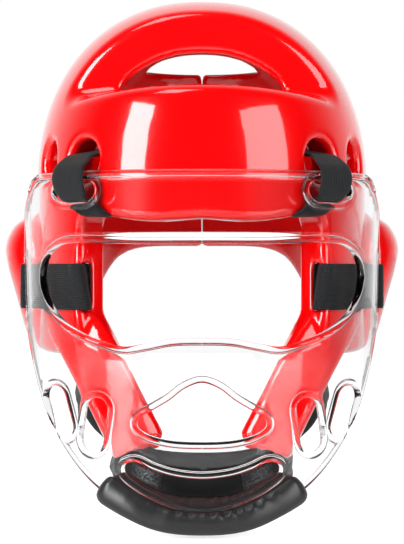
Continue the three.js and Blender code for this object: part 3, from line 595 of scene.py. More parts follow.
def jaw_field(x, y, z):
    """The distance to the jaw band, and far away a plain large number."""
    shape = x.shape
    points = np.stack([np.abs(x).ravel(), y.ravel(), z.ravel()], axis=1)
    found = np.full(len(points), 40.0)
    low, high = JAW_LINE.min(0) - 26, JAW_LINE.max(0) + 26
    near = np.flatnonzero(np.all((points > low) & (points < high), axis=1))
    step = np.linalg.norm(JAW_LINE[1] - JAW_LINE[0])
    last = len(JAW_LINE) - 1
    for part in np.array_split(near, max(1, len(near) // 40000)):
        p = points[part]
        distance = ((p[:, None, :] - JAW_LINE[None]) ** 2).sum(-1)
        i = distance.argmin(1)
        forward = ((p - JAW_LINE[i]) * JAW_ALONG[i]).sum(1) / step
        at = i + forward
        beyond = np.maximum(at - last, 0) * step
        before = np.maximum(-at, 0) * step
        at = np.clip(at, 0, last)
        low_i = np.minimum(at.astype(int), last - 1)
        t = (at - low_i)[:, None]
        centre, across, out = (
            table[low_i] * (1 - t) + table[low_i + 1] * t
            for table in (JAW_LINE, JAW_ACROSS, JAW_OUT)
        )
        local = p - centre
        parts = [
            ((local * across).sum(1), JAW["width"] / 2),
            ((local * out).sum(1), JAW["thickness"] / 2),
        ]
        section = power_field(parts, JAW["corner"])
        found[part] = round_and(section, np.maximum(beyond + 2, before) - 6.5, 6.0)
    return found.reshape(shape)


def vent_field(x, y, z, angle, height, half_width, half_height):
    start, end = shell_point(angle, height, 1.5 * WALL), shell_point(angle, height, -1.8 * WALL)
    axis = unit(end - start)
    side = unit(np.cross(axis, [0, 0, 1.0]))
    up = np.cross(side, axis)
    local = np.stack([np.abs(x) - start[0], y - start[1], z - start[2]], axis=-1)
    hole = power_field([(local @ side, half_width), (local @ up, half_height)], 2.0)
    depth = local @ axis
    return np.maximum(hole, np.maximum(-depth, depth - np.linalg.norm(end - start)))


def slot_field(x, y, z, low, high):
    centre, half = (np.array(low) + high) / 2, (np.array(high) - low) / 2
    away = [np.abs(v - c) - h for v, c, h in zip((np.abs(x), y, z), centre, half)]
    return np.maximum(np.maximum(away[0], away[1]), away[2])


def shell_field(x, y, z):
    body = round_or(dome_field(x, y, z, 0), ear_field(x, y, z), 4.0)
    body = np.maximum(body, -dome_field(x, y, z, -WALL))
    body = round_and(body, -step_field(x, y, z, FOREHEAD_TOP, -1), 5.0)
    body = round_and(body, -step_field(x, y, z, REAR_TOP, 1), 5.0)
    body = round_and(body, -face_field(x, y, z), 4.0)
    body = round_and(body, rim_cut(y, z), 5.0)
    body = round_or(body, jaw_field(x, y, z), 2.0)
    split = np.maximum(np.abs(x) - REAR_SPLIT / 2, 0.5 * BACK - y)
    body = round_and(body, -np.maximum(split, z), 2.5)
    hole = power_field(
        [(x, CROWN_HOLE["half_width"]), (y - CROWN_HOLE["y"], CROWN_HOLE["half_depth"])], 2.0
    )
    body = round_and(body, -np.maximum(hole, -40 - z), 5.0)
    for angle, height, half_width, half_height, radius in VENTS:
        vent = vent_field(x, y, z, angle, height, half_width, half_height)
        body = round_and(body, -vent, radius)
    low = SIDE_STRAP["z"] - EAR_SLOT["half_height"]
    high = SIDE_STRAP["z"] + EAR_SLOT["half_height"]
    front, back = EAR_SLOT["y"] - EAR_SLOT["half_width"], EAR_SLOT["y"] + EAR_SLOT["half_width"]
    ear = slot_field(x, y, z, (0.5 * HALF_WIDTH, front, low), (1.5 * HALF_WIDTH, back, high))
    body = round_and(body, -ear, 1.2)
    x_low, x_high = (CHEEK_SLIT["x"] + side * CHEEK_SLIT["half_width"] for side in (-1, 1))
    low = SIDE_STRAP["z"] - CHEEK_SLIT["half_height"]
    high = SIDE_STRAP["z"] + CHEEK_SLIT["half_height"]
    slit = slot_field(
        x, y, z, (x_low, CHEEK_SLIT["from"], low), (x_high, CHEEK_SLIT["to"], high)
    )
    return round_and(body, -slit, 0.8)


def rim_cut(y, z):
    return -rim_field(y, z)


def surface_net(values, low, pitch):
    """The surface where the values are zero: a point in each cell that it passes, and a face
    round each edge of the grid that it crosses."""
    shape = np.array(values.shape) - 1
    inside = values < 0
    total = np.zeros((int(shape.prod()), 3))
    count = np.zeros(int(shape.prod()))
    crossings = []
    for axis in range(3):
        a = np.moveaxis(values, axis, 0)
        change = np.moveaxis(inside, axis, 0)
        index = np.argwhere(change[:-1] != change[1:])
        first = a[index[:, 0], index[:, 1], index[:, 2]]
        second = a[index[:, 0] + 1, index[:, 1], index[:, 2]]
        leaving = first < 0
        order = [axis] + [i for i in range(3) if i != axis]
        start = np.zeros_like(index)
        start[:, order] = index
        point = start.astype(float)
        point[:, axis] += first / (first - second)
        others = order[1:]
        cells = []
        for da, db in ((0, 0), (1, 0), (1, 1), (0, 1)):
            cell = start.copy()
            cell[:, others[0]] -= da
            cell[:, others[1]] -= db
            flat = (cell[:, 0] * shape[1] + cell[:, 1]) * shape[2] + cell[:, 2]
            cells.append(flat)
            for i in range(3):
                total[:, i] += np.bincount(flat, point[:, i], len(total))
            count += np.bincount(flat, minlength=len(total))
        quads = np.stack(cells, axis=1)
        turned = leaving if axis != 1 else ~leaving
        quads[~turned] = quads[~turned][:, ::-1]
        crossings.append(quads)
    used = np.flatnonzero(count)
    number = np.full(len(total), -1)
    number[used] = np.arange(len(used))
    points = low + pitch * total[used] / count[used][:, None]
    return points, number[np.vstack(crossings)]


def settle(points, field, rounds=4, limit=1.5):
    """Moves points onto the zero surface of a field."""
    step = 0.2
    start = points.copy()
    for _ in range(rounds):
        x, y, z = points.T
        value = field(x, y, z)
        slope = np.stack(
            [
                field(x + step, y, z) - field(x - step, y, z),
                field(x, y + step, z) - field(x, y - step, z),
                field(x, y, z + step) - field(x, y, z - step),
            ],
            axis=1,
        ) / (2 * step)
        size = np.maximum((slope**2).sum(1), 0.15)
        points = points - 0.9 * slope * (value / size)[:, None]
        points = start + np.clip(points - start, -limit, limit)
    return points


SHELL_PITCH = 2.4


def foam_shell():
    low = np.array([-122.4, -124.0, -246.0])
    high = np.array([122.4, 131.0, 26.0])
    pitch = SHELL_PITCH * 1
    axes = [np.arange(a, b + pitch, pitch) for a, b in zip(low, high)]
    x, y, z = np.meshgrid(*axes, indexing="ij")
    values = shell_field(x, y, z)
    points, quads = surface_net(values, low, pitch)
    return make_piece("foam_shell_skin", settle(points, shell_field), quads)


shell_piece = foam_shell()


# The clear shield, laid out flat as a length round its plan and a height

ARC_DEGREES = np.linspace(0, 180, 3601)
ARC_POINTS = shield_point(ARC_DEGREES, -140.0)
ARC_STEPS = np.linalg.norm(np.diff(ARC_POINTS, axis=0), axis=1)
ARC_LENGTH = np.concatenate([[0], np.cumsum(ARC_STEPS)])
ARC_LENGTH = ARC_LENGTH[len(ARC_LENGTH) // 2] - ARC_LENGTH


def flat_from_angle(degrees):
    """How far round the sheet an angle lies. The middle is 0, and the side of +X is positive."""
    return np.interp(degrees, ARC_DEGREES, ARC_LENGTH)


def angle_from_flat(flat):
    return np.interp(-flat, -ARC_LENGTH, ARC_DEGREES)


def flat_outline(rows, spacing):
    """A mirrored outline, seen from the front, laid out on the flat sheet."""
    right = [(x, z) for x, z in rows]
    left = [(-x, z) for x, z in rows[1:-1][::-1]]
    curve = spline(right + left, closed=True)
    flat = flat_from_angle(shield_angle_at_x(curve[:, 0], curve[:, 1]))
    return even(np.stack([flat, curve[:, 1]], axis=1), spacing, closed=True)


def flat_oblong(x, z, half_width, half_height, lean, spacing):
    long, short = max(half_width, half_height), min(half_width, half_height)
    turn = np.linspace(0, math.pi, 13)
    cap = np.stack([short * np.cos(turn), long - short + short * np.sin(turn)], axis=1)
    ring = np.vstack([cap, -cap])
    turned = math.radians((0 if half_height >= half_width else 90) - lean)
    c, s = math.cos(turned), math.sin(turned)
    ring = ring @ np.array([[c, s], [-s, c]]) + [x, z]
    flat = flat_from_angle(shield_angle_at_x(ring[:, 0], ring[:, 1]))
    return even(np.stack([flat, ring[:, 1]], axis=1), spacing, closed=True)


def flat_side_slot(spacing):
    y, z = SIDE_SLOT["y"], SIDE_SLOT["z"]
    flat = [
        float(flat_from_angle(shield_angle_at_y(y + step * SIDE_SLOT["half_length"])))
        for step in (-1, 1)
    ]
    middle, half = sum(flat) / 2, abs(flat[1] - flat[0]) / 2
    turn = np.linspace(0, 2 * math.pi, 120, endpoint=False)
    ring = np.stack(
        [
            middle + half * bend(np.cos(turn), 5),
            z + SIDE_SLOT["half_height"] * bend(np.sin(turn), 9),
        ],
        axis=1,
    )
    return even(ring, spacing, closed=True)


def flat_border(spacing):
    """The sheet's outer edge: along the top, round the cut corner and down to the chin."""
    corner = spline(SHIELD_CORNER)
    flat_corner = flat_from_angle(shield_angle_at_y(corner[:, 0], corner[:, 1]))
    right = np.stack([flat_corner, corner[:, 1]], axis=1)
    degrees = np.linspace(float(shield_angle_at_y(-34.0, -152.0)), 90, 160)
    z = np.full_like(degrees, -200.0)
    for _ in range(40):
        z = 0.5 * z + 0.5 * shield_edge_z(shield_point(degrees, z)[:, 1])
    lower = np.stack([flat_from_angle(degrees), z], axis=1)
    half = np.vstack([right, lower])
    other = half[::-1] * [-1, 1]
    return even(np.vstack([half, other[1:]]), spacing, closed=True)


def signed_area(loop):
    after = np.roll(loop, -1, axis=0)
    return 0.5 * (loop[:, 0] * after[:, 1] - after[:, 0] * loop[:, 1]).sum()


def inside_loop(points, loop):
    """Which points lie inside a closed loop."""
    x, y = points[:, 0][:, None], points[:, 1][:, None]
    a, b = loop, np.roll(loop, -1, axis=0)
    crosses = (a[:, 1] > y) != (b[:, 1] > y)
    rise = np.where(np.abs(b[:, 1] - a[:, 1]) < 1e-12, 1e-12, b[:, 1] - a[:, 1])
    meets = a[:, 0] + (y - a[:, 1]) * (b[:, 0] - a[:, 0]) / rise
    return (crosses & (x < meets)).sum(1) % 2 == 1


def loop_distance(points, loop):
    a, b = loop, np.roll(loop, -1, axis=0)
    best = np.full(len(points), 1e9)
    for part in np.array_split(np.arange(len(points)), max(1, len(points) // 2000)):
        p = points[part][:, None, :]
        along = b - a
        t = np.clip(((p - a) * along).sum(-1) / np.maximum((along**2).sum(-1), 1e-12), 0, 1)
        gap = p - (a + t[..., None] * along)
        best[part] = np.sqrt((gap**2).sum(-1)).min(1)
    return best


BEAD_ROWS = (0.15, 0.5, 1.05, 1.75, 2.4, 3.0, 3.6, 4.2)


def half_thickness(distance, rise):
    """Half of the sheet's thickness at a distance from its edge: a round lip that settles down
    to the plain sheet."""
    plain = SHIELD["thickness"] / 2
    lip = 0.5 * BEAD["width"]
    edge = (plain + rise) * np.sqrt(np.clip(1 - (1 - np.minimum(distance, lip) / lip) ** 2, 0, 1))
    fall = np.clip((distance - lip) / (BEAD["width"] + 0.2 - lip), 0, 1)
    return np.where(distance < lip, edge, plain + rise * (0.5 + 0.5 * np.cos(math.pi * fall)))


def face_shield():
    spacing = 1.4
    outer = flat_border(spacing)
    holes = [flat_outline(r, spacing) for r in (EYE_OUTLINE, BREATHER_OUTLINE, MOUTH_OUTLINE)]
    slots = [flat_oblong(*row, spacing) for row in OBLONG_SLOTS] + [flat_side_slot(spacing)]
    for slot in slots:
        holes += [slot, (slot * [-1, 1])[::-1]]
    plain_holes = {len(holes) - 2, len(holes) - 1}
    loops = [outer] + holes
    points = [p for loop in loops for p in loop]
    edges, start = [], 0
    for loop in loops:
        count = len(loop)
        edges += [(start + i, start + (i + 1) % count) for i in range(count)]
        start += count
    border_count = start

    candidates = []
    for n, loop in enumerate(loops):
        along = unit(np.roll(loop, -1, axis=0) - np.roll(loop, 1, axis=0))
        inward = np.stack([-along[:, 1], along[:, 0]], axis=1) * math.copysign(1, signed_area(loop))
        if n > 0:
            inward = -inward
        for row in BEAD_ROWS:
            moved = loop + inward * row
            candidates.append(np.column_stack([moved, np.full(len(loop), row)]))
    step = 4.6
    reach_x = np.arange(-190, 190, step)
    reach_z = np.arange(-276, -82, step * 0.866)
    grid = np.array(
        [(x + (0.5 * step if j % 2 else 0), z) for j, z in enumerate(reach_z) for x in reach_x]
    )
    candidates.append(np.column_stack([grid, np.full(len(grid), BEAD_ROWS[-1] + 1.2)]))
    candidates = np.vstack(candidates)
    kept = inside_loop(candidates[:, :2], outer)
    for hole in holes:
        kept &= ~inside_loop(candidates[:, :2], hole)
    candidates = candidates[kept]
    nearest = np.min([loop_distance(candidates[:, :2], loop) for loop in loops], axis=0)
    candidates = candidates[nearest > candidates[:, 2] - 0.12]
    everything = np.vstack([np.array(points), candidates[:, :2]])

    result = delaunay_2d_cdt([tuple(p) for p in everything], edges, [], 0, 1e-7)
    flat = np.array(result[0])
    faces = np.array(result[2])
    middle = flat[faces].mean(axis=1)
    keep = inside_loop(middle, outer)
    for hole in holes:
        keep &= ~inside_loop(middle, hole)
    faces = faces[keep]
    distances = np.array([loop_distance(flat, loop) for loop in loops])
    closest = distances.argmin(0)
    distance = distances.min(0)
    is_top = (closest == 0) & (flat[:, 1] > SHIELD_TOP - 9)
    plain = ((closest == 0) & ~is_top) | np.isin(closest, list(plain_holes))
    rise = np.where(closest > 3, BEAD["slot_rise"], BEAD["rise"])
    rise = np.where(plain, BEAD["plain_rise"], rise)
    on_border = distance < 1e-4
    half = np.where(on_border, 0, half_thickness(distance, rise))
    degrees, z = angle_from_flat(flat[:, 0]), flat[:, 1]
    middle_offset = -SHIELD["thickness"] / 2
    outside = shield_point(degrees, z, middle_offset + half)
    within = shield_point(degrees, z, middle_offset - half)
    count = len(flat)
    inner_number = np.where(on_border, np.arange(count), np.arange(count) + count)
    all_points = np.vstack([outside, within])
    # a triangle with all its corners on an edge has no thickness
    faces = faces[~on_border[faces].all(axis=1)]
    both = np.vstack([faces, inner_number[faces][:, ::-1]])
    a, b, c = (all_points[both[:, i]] for i in range(3))
    if (a * np.cross(b, c)).sum() < 0:
        both = both[:, ::-1]
    used = np.unique(both)
    number = np.full(len(all_points), -1)
    number[used] = np.arange(len(used))
    return make_piece("face_shield_sheet", all_points[used], number[both])


shield_piece = face_shield()


# The chin roll, folded over the shield's lower edge


def edge_point(x):
    """The lower edge on the shield's outer surface, at a given x."""
    z = -271.0
    degrees = 90.0
    for _ in range(40):
        degrees = float(shield_angle_at_x(x, z))
        z = 0.5 * z + 0.5 * float(shield_edge_z(shield_point(degrees, z)[1]))
    return shield_point(degrees, z)


def roll_section():
    """Its section about the sheet's lower edge, outwards of the sheet and up: a flap in front, a groove for the
    sheet and a fuller pad behind."""
    gap, behind = ROLL["gap"], SHIELD["thickness"] + BEAD["rise"] + ROLL["gap"]
    around = spline(
        [
            (-5, 10.5),
            (-9, 13.5),
            (-15, 12),
            (-18.5, 6),
            (-17.5, -1),
            (-11, -4.4),
            (-2, -4.9),
            (3.6, -3.6),
            (6.2, 1.0),
            (5.6, 5.2),
            (2.4, 8.0),
        ]
    )
    around = even(around, 1.0)
    groove = [(gap, 7.0), (gap, 2.0), (gap, -gap), (-behind, -gap), (-behind, 3), (-behind, 9.4)]
    return np.vstack([around, even(groove, 1.6)])


def chin_roll():
    half = ROLL["half_width"]
    line = np.array([edge_point(half * math.sin(math.pi / 2 * t)) for t in np.linspace(-1, 1, 61)])
    line = even(spline(line, per_span=6), 0.9)
    along = unit(np.gradient(line, axis=0))
    out = unit(np.stack([along[:, 1], -along[:, 0], 0 * along[:, 0]], axis=1))
    up = unit(np.cross(out, along))
    up *= np.sign(up[:, 2:3])
    section = roll_section()
    count = len(line)
    cap = 7
    behind = SHIELD["thickness"] + BEAD["rise"] + ROLL["gap"]
    rng = np.random.default_rng(7)
    waves = [
        (rng.uniform(0.55, 1.25), rng.uniform(0, 6.28), rng.uniform(-0.5, 0.5)) for _ in range(9)
    ]
    rings = []
    for i in range(count):
        near_end = min(i, count - 1 - i)
        t = min(1.0, (near_end + 0.35) / cap)
        share = math.sqrt(1 - (1 - t) ** 2)
        at = (i - count / 2) * 0.9
        puff = 1 + 0.05 * math.sin(0.11 * at + 0.6) + 0.03 * math.sin(0.29 * at)
        o, u = section[:, 0].copy(), section[:, 1].copy()
        ridge = np.exp(-(((o - 3.4) / 2.6) ** 2 + ((u - 6.6) / 2.6) ** 2))
        taller = 1 + ROLL["rise_to_ends"] * (line[i][0] / half) ** 2
        back = np.exp(-(((o + 8) / 5.0) ** 2 + ((u - 12.5) / 2.5) ** 2))
        crease = sum(math.sin(k * at + phase + 1.4 * lean) for k, phase, lean in waves) / 3.2
        sharp = math.copysign(abs(crease) ** 0.7, crease)
        strength = 0.55 + 0.45 * math.sin(0.05 * at + 1.2)
        push = sharp * (0.4 * ridge + 0.5 * back) * strength
        front = o > -ROLL["gap"]
        o = np.where(front, ROLL["gap"] + (o - ROLL["gap"]) * share * puff, o)
        rear = section[:, 0] < -behind + 0.01
        o = np.where(rear, -behind + (o + behind) * share, o)
        u = np.where(u > -ROLL["gap"], u * (0.25 + 0.75 * share), u * share)
        u = np.where((u > 0) & front, u * taller, u)
        o = np.where(section[:, 0] > ROLL["gap"] + 0.2, o + push, o)
        u = u + push * 0.8 * (ridge + back)
        rings.append(line[i] + out[i] * o[:, None] + up[i] * u[:, None])
    return sweep("chin_roll_pad", rings, closed=False)


def sweep(name, rings, closed):
    """Joins equal rings into one closed skin."""
    rings = [np.asarray(r) for r in rings]
    size, count = len(rings[0]), len(rings)
    points = np.vstack(rings)
    faces = []
    for i in range(count if closed else count - 1):
        here, there = i * size, ((i + 1) % count) * size
        faces += [
            (here + j, here + (j + 1) % size, there + (j + 1) % size, there + j)
            for j in range(size)
        ]
    piece = make_piece(name, points, faces)
    cells = bmesh.new()
    cells.from_mesh(piece.data)
    if not closed:
        cells.verts.ensure_lookup_table()
        for start in (0, (count - 1) * size):
            ring = [cells.verts[start + j] for j in range(size)]
            cap = cells.faces.new(ring)
            bmesh.ops.triangulate(cells, faces=[cap], ngon_method="EAR_CLIP")
    bmesh.ops.recalc_face_normals(cells, faces=cells.faces)
    for face in cells.faces:
        face.smooth = True
    cells.to_mesh(piece.data)
    cells.free()
    return piece


roll_piece = chin_roll()


# The chin cup


def cup_point(share):
    turn = math.pi * share
    x = -CHIN_CUP["half_width"] * math.cos(turn)
    y = CHIN_CUP["centre_y"] - CHIN_CUP["depth"] * max(0, math.sin(turn)) ** 0.8
    return np.array([x, y, CHIN_CUP["z"] + CHIN_CUP["end_rise"] * (x / CHIN_CUP["half_width"]) ** 2])


def cup_frames(count):
    shares = 0.03 + 0.94 * np.linspace(0, 1, count)
    line = np.array([cup_point(s) for s in shares])
    line = even(line, np.linalg.norm(np.diff(line, axis=0), axis=1).sum() / (count - 1))
    along = unit(np.gradient(line, axis=0))
    out = unit(np.stack([along[:, 1], -along[:, 0], 0 * along[:, 0]], axis=1))
    return line, along, out, unit(np.cross(out, along))


def chin_cup():
    line, along, out, up = cup_frames(90)
    size = 56
    turn = 2 * math.pi * (np.arange(size) + 0.5) / size
    rings = []
    for i in range(len(line)):
        near_end = min(i, len(line) - 1 - i)
        t = min(1.0, (near_end + 0.4) / 9)
        slim = math.sqrt(1 - (1 - t) ** 2)
        high = 0.5 * CHIN_CUP["height"] * (0.35 + 0.65 * slim) * bend(np.cos(turn), 2.7)
        thick = 0.5 * CHIN_CUP["thickness"] * (0.3 + 0.7 * slim) * bend(np.sin(turn), 2.4)
        edge = np.abs(high) / (0.5 * CHIN_CUP["height"])
        seam = 1 - 0.42 * np.exp(-(((edge - 0.78) / 0.05) ** 2)) * slim
        rings.append(line[i] + up[i] * high[:, None] + out[i] * (thick * seam)[:, None])
    return sweep("chin_cup_pad", rings, closed=False)


cup_piece = chin_cup()


# Webbing


def rounded_path(points, widths, closed, radius):
    """A path with its corners rounded, and the width's direction and size at each point."""
    count = len(points)
    path, across = [], []
    for i in range(count):
        if not closed and i in (0, count - 1):
            path.append(points[i])
            across.append(widths[i])
            continue
        at, before, after = points[i], points[i - 1], points[(i + 1) % count]
        ends = []
        for other in (before, after):
            distance = np.linalg.norm(other - at)
            ends.append(at + (other - at) * min(radius, 0.45 * distance) / distance)
        for t in np.linspace(0, 1, 7):
            path.append(ends[0] * (1 - t) ** 2 + 2 * at * t * (1 - t) + ends[1] * t * t)
            across.append(widths[i])
    return np.array(path), np.array(across)


def webbing(name, points, widths, thickness, closed, spacing=1.1, sides=14):
    """A woven strap along a path. Its UV map holds the length along it and the place across it,
    both in millimetres, so that the weave follows the strap."""
    path, across = rounded_path(points, widths, closed, WEB["bend"])
    table = even(np.hstack([path, across]), spacing, closed)
    for _ in range(2):
        smoothed = table.copy()
        before, after = np.roll(table, 1, axis=0), np.roll(table, -1, axis=0)
        smoothed = 0.25 * before + 0.5 * table + 0.25 * after
        if not closed:
            smoothed[[0, -1]] = table[[0, -1]]
        table = smoothed
    line, width = table[:, :3], table[:, 3:]
    if closed:
        along = unit(np.roll(line, -1, axis=0) - np.roll(line, 1, axis=0))
    else:
        along = unit(np.gradient(line, axis=0))
    out = unit(np.cross(along, width))
    half = np.linalg.norm(width, axis=1) / 2
    direction = unit(width)
    flat = np.linspace(-1, 1, sides)
    lip = 0.5 * thickness
    ring_across, ring_out = [], []
    for t in flat:
        ring_across.append(t)
        ring_out.append(1.0 if abs(t) < 0.97 else 0.62)
    for t in flat[::-1]:
        ring_across.append(t)
        ring_out.append(-1.0 if abs(t) < 0.97 else -0.62)
    ring_across, ring_out = np.array(ring_across), np.array(ring_out)
    rings, lengths = [], []
    steps = np.linalg.norm(np.diff(line, axis=0), axis=1)
    travelled = np.concatenate([[0], np.cumsum(steps)])
    for i in range(len(line)):
        place = direction[i] * (half[i] * ring_across)[:, None] + out[i] * (lip * ring_out)[:, None]
        rings.append(line[i] + place)
        lengths.append(travelled[i])
    piece = sweep(name, rings, closed)
    layer = piece.data.uv_layers.new(name="weave")
    size = len(ring_across)
    total = travelled[-1] + (np.linalg.norm(line[-1] - line[0]) if closed else 0)
    for face in piece.data.polygons:
        numbers = [v // size for v in face.vertices]
        wraps = max(numbers) - min(numbers) > len(line) // 2
        for loop, vertex, n in zip(face.loop_indices, face.vertices, numbers):
            u = lengths[n] + (total if wraps and n == 0 else 0)
            side = ring_across[vertex % size] * half[n]
            layer.data[loop].uv = (u, side)
    return piece


def upper_strap():
    lift = WEB["thickness"] / 2 + WEB["clearance"]
    vent_angle, vent_z = VENTS[0][:2]
    outside = BEAD["rise"] + lift
    behind = -SHIELD["thickness"] - BEAD["rise"] - lift
    under_brow = -106 - 0.5 * WEB["thickness"] - 0.4
    mouth_z = vent_z + 2
    inside = -WALL - lift - 2
    turn = math.radians(UPPER_STRAP["turn"])
    across = np.array([math.cos(turn), math.sin(turn), 0])
    share = (UPPER_STRAP["brow_x"] / HALF_WIDTH) ** (ROUNDNESS / 2)
    brow_angle = math.degrees(math.acos(share))

    def on_sheet(x, z, offset):
        return shield_point(float(shield_angle_at_x(x)), z, offset)

    rows = [
        (on_sheet(67.6, -99.6, 0.8), 17.4),
        (on_sheet(68.6, -93.6, outside), 20.2),
        (on_sheet(69.6, -88.2, outside), 20.6),
        (on_sheet(69.6, -82.6, 1.4), 20),
        (shell_point(vent_angle, mouth_z, 2), 18),
        (shell_point(vent_angle, mouth_z + 5, inside + 0.4), 19),
        (shell_point(brow_angle + 2, (mouth_z + under_brow) / 2, inside), 20),
        (shell_point(brow_angle + 1, under_brow, inside), 17),
        (shell_point(brow_angle, under_brow, lift + 0.8), 17),
        (on_sheet(67.0, -101.2, behind - 0.6), 17.4),
        (on_sheet(68.4, -99.8, behind + 1.2), 17.4),
    ]
    points = np.array([at for at, _ in rows])
    widths = np.array([across * width for _, width in rows])
    return webbing("upper_strap_web_right", points, widths, WEB["thickness"], True)


def side_strap():
    lift = WEB["thickness"] / 2 + WEB["clearance"]
    z = SIDE_STRAP["z"]

    def on_wall(y, offset):
        return shell_point(shell_angle_at_y(y, offset), z, offset)

    inner = -WALL - lift
    ridge = cheek_ridge(z)
    inwards = unit(np.array([-FACE["taper"], 1, 0]))
    off_face = unit(np.array([-1, -FACE["taper"], 0])) * lift
    slit_start = ridge[1] + (ridge[0] - CHEEK_SLIT["x"]) / FACE["taper"]
    slot_angle = float(shield_angle_at_y(SIDE_SLOT["y"]))
    rear_angle = float(shield_angle_at_y(SHIELD_EDGE[0][0] - 1))
    points = [
        shield_point(slot_angle, z, lift),
        shield_point(rear_angle, z, lift + 0.4),
        np.array([on_wall(EAR_SLOT["y"], 0)[0] + 4, EAR_SLOT["y"], z]),
        np.array([on_wall(EAR_SLOT["y"], inner)[0], EAR_SLOT["y"], z]),
        on_wall(EAR_SLOT["y"] - 14, inner),
        on_wall(EAR_SLOT["y"] - 24, inner - 0.4),
        np.array([CHEEK_SLIT["x"], CHEEK_SLIT["to"] - 1, z]),
        np.array([CHEEK_SLIT["x"], slit_start - 2.2 * lift, z]),
        ridge - inwards * lift + off_face,
        on_wall(ridge[1] + 6, lift + 0.3),
        on_wall(ridge[1] + 18, lift + 0.3),
        on_wall(ridge[1] + 30, lift),
        shield_point(slot_angle, z, -SHIELD["thickness"] - lift),
    ]
    widths = np.tile([0, 0, SIDE_STRAP["width"]], (len(points), 1))
    # round the cheek's edge, it leans as the edge of the cheek does
    widths[7:9, 0] = SIDE_STRAP["lean"]
    return webbing("side_strap_web_right", np.array(points), widths, WEB["thickness"], True)


def chin_strap():
    points = [shell_point(angle, z, -inset) for angle, z, inset, _ in CHIN_STRAP_ROWS]
    for along, in_front, above, _ in CHIN_STRAP_ENDS:
        points.append(cup_point(1 - along) + [0, -in_front, above])
    points = np.array(points)
    turns = [math.radians(row[-1]) for row in CHIN_STRAP_ROWS + CHIN_STRAP_ENDS]
    widths = []
    for i, turn in enumerate(turns):
        before, after = points[max(0, i - 1)], points[min(len(points) - 1, i + 1)]
        facing = np.array([math.sin(turn), -math.cos(turn), 0])
        widths.append(unit(np.cross(facing, after - before)) * CHIN_STRAP["width"])
    return webbing(
        "chin_strap_web_right", points, np.array(widths), CHIN_STRAP["thickness"], False
    )


def rear_strap():
    """The elastic closure over the split: a bent band with ribs along it."""
    columns, rows = 100, 44
    half, thick, gap = REAR_STRAP["half_length"], REAR_STRAP["thickness"], REAR_STRAP["gap"]

    def at(u, v, offset):
        x = half * (2 * u - 1)
        share = (abs(x) / HALF_WIDTH) ** (ROUNDNESS / 2)
        degrees = -math.degrees(math.acos(share))
        z = REAR_STRAP["z"] + REAR_STRAP["height"] * (v - 0.5)
        point = shell_point(degrees, z, offset)
        return [math.copysign(point[0], x), point[1], point[2]]

    rings = []
    for i in range(columns + 1):
        u = i / columns
        outer, inner = [], []
        for j in range(rows + 1):
            v = j / rows
            rib = 0.28 * abs(math.sin(math.pi * v * 13)) ** 0.6 - 0.2
            lip = 0.9 if j in (0, rows) or i in (0, columns) else 0.0
            outer.append(at(u, v, gap + thick + rib - lip))
            inner.append(at(u, v, gap))
        rings.append(np.array(outer + inner[::-1]))
    piece = sweep("rear_strap_band", rings, closed=False)
    layer = piece.data.uv_layers.new(name="weave")
    for loop in piece.data.loops:
        place = piece.data.vertices[loop.vertex_index].co
        layer.data[loop.index].uv = (place.x / MM, place.z / MM)
    return piece


upper_right = upper_strap()
side_right = side_strap()
chin_right = chin_strap()
rear_piece = rear_strap()
upper_left = mirror_piece(upper_right, "upper_strap_web_left")
side_left = mirror_piece(side_right, "side_strap_web_left")
chin_left = mirror_piece(chin_right, "chin_strap_web_left")


# Materials


def new_group(name, inputs, outputs):
    group = bpy.data.node_groups.new(name, "ShaderNodeTree")
    for label, kind, value in inputs:
        socket = group.interface.new_socket(label, in_out="INPUT", socket_type=kind)
        if value is not None:
            socket.default_value = value
    for label, kind in outputs:
        group.interface.new_socket(label, in_out="OUTPUT", socket_type=kind)
    return group, group.nodes.new("NodeGroupInput"), group.nodes.new("NodeGroupOutput")


def math_node(tree, operation, a, b=None):
    node = tree.nodes.new("ShaderNodeMath")
    node.operation = operation
    for socket, value in zip(node.inputs, (a, b)):
        if value is None:
            continue
        if isinstance(value, bpy.types.NodeSocket):
            tree.links.new(value, socket)
        else:
            socket.default_value = value
    return node.outputs[0]


def noise_node(tree, vector, scale, detail=2.0, roughness=0.5):
    node = tree.nodes.new("ShaderNodeTexNoise")
    tree.links.new(vector, node.inputs["Vector"])
    for label, value in (("Scale", scale), ("Detail", detail), ("Roughness", roughness)):
        if isinstance(value, bpy.types.NodeSocket):
            tree.links.new(value, node.inputs[label])
        else:
            node.inputs[label].default_value = value
    return node.outputs["Fac"]


def dipped_skin_group():
    """A poured skin over foam: fine pebbling and slow waves. Height feeds a bump, and Cloud is a
    slow variation for colour and roughness."""
    group, start, end = new_group(
        "dipped_skin",
        [
            ("Vector", "NodeSocketVector", None),
            ("Pebble Scale", "NodeSocketFloat", 420.0),
            ("Pebble", "NodeSocketFloat", 0.3),
            ("Wave Scale", "NodeSocketFloat", 28.0),
            ("Wave", "NodeSocketFloat", 1.0),
        ],
        [("Height", "NodeSocketFloat"), ("Cloud", "NodeSocketFloat")],
    )
    where = start.outputs["Vector"]
    pebbles = noise_node(group, where, start.outputs["Pebble Scale"], 2.0, 0.55)
    waves = noise_node(group, where, start.outputs["Wave Scale"], 1.5, 0.4)
    cloud = noise_node(group, where, 9.0, 3.0, 0.5)
    small = math_node(group, "MULTIPLY", pebbles, start.outputs["Pebble"])
    large = math_node(group, "MULTIPLY", waves, start.outputs["Wave"])
    group.links.new(math_node(group, "ADD", small, large), end.inputs["Height"])
    group.links.new(cloud, end.inputs["Cloud"])
    return group


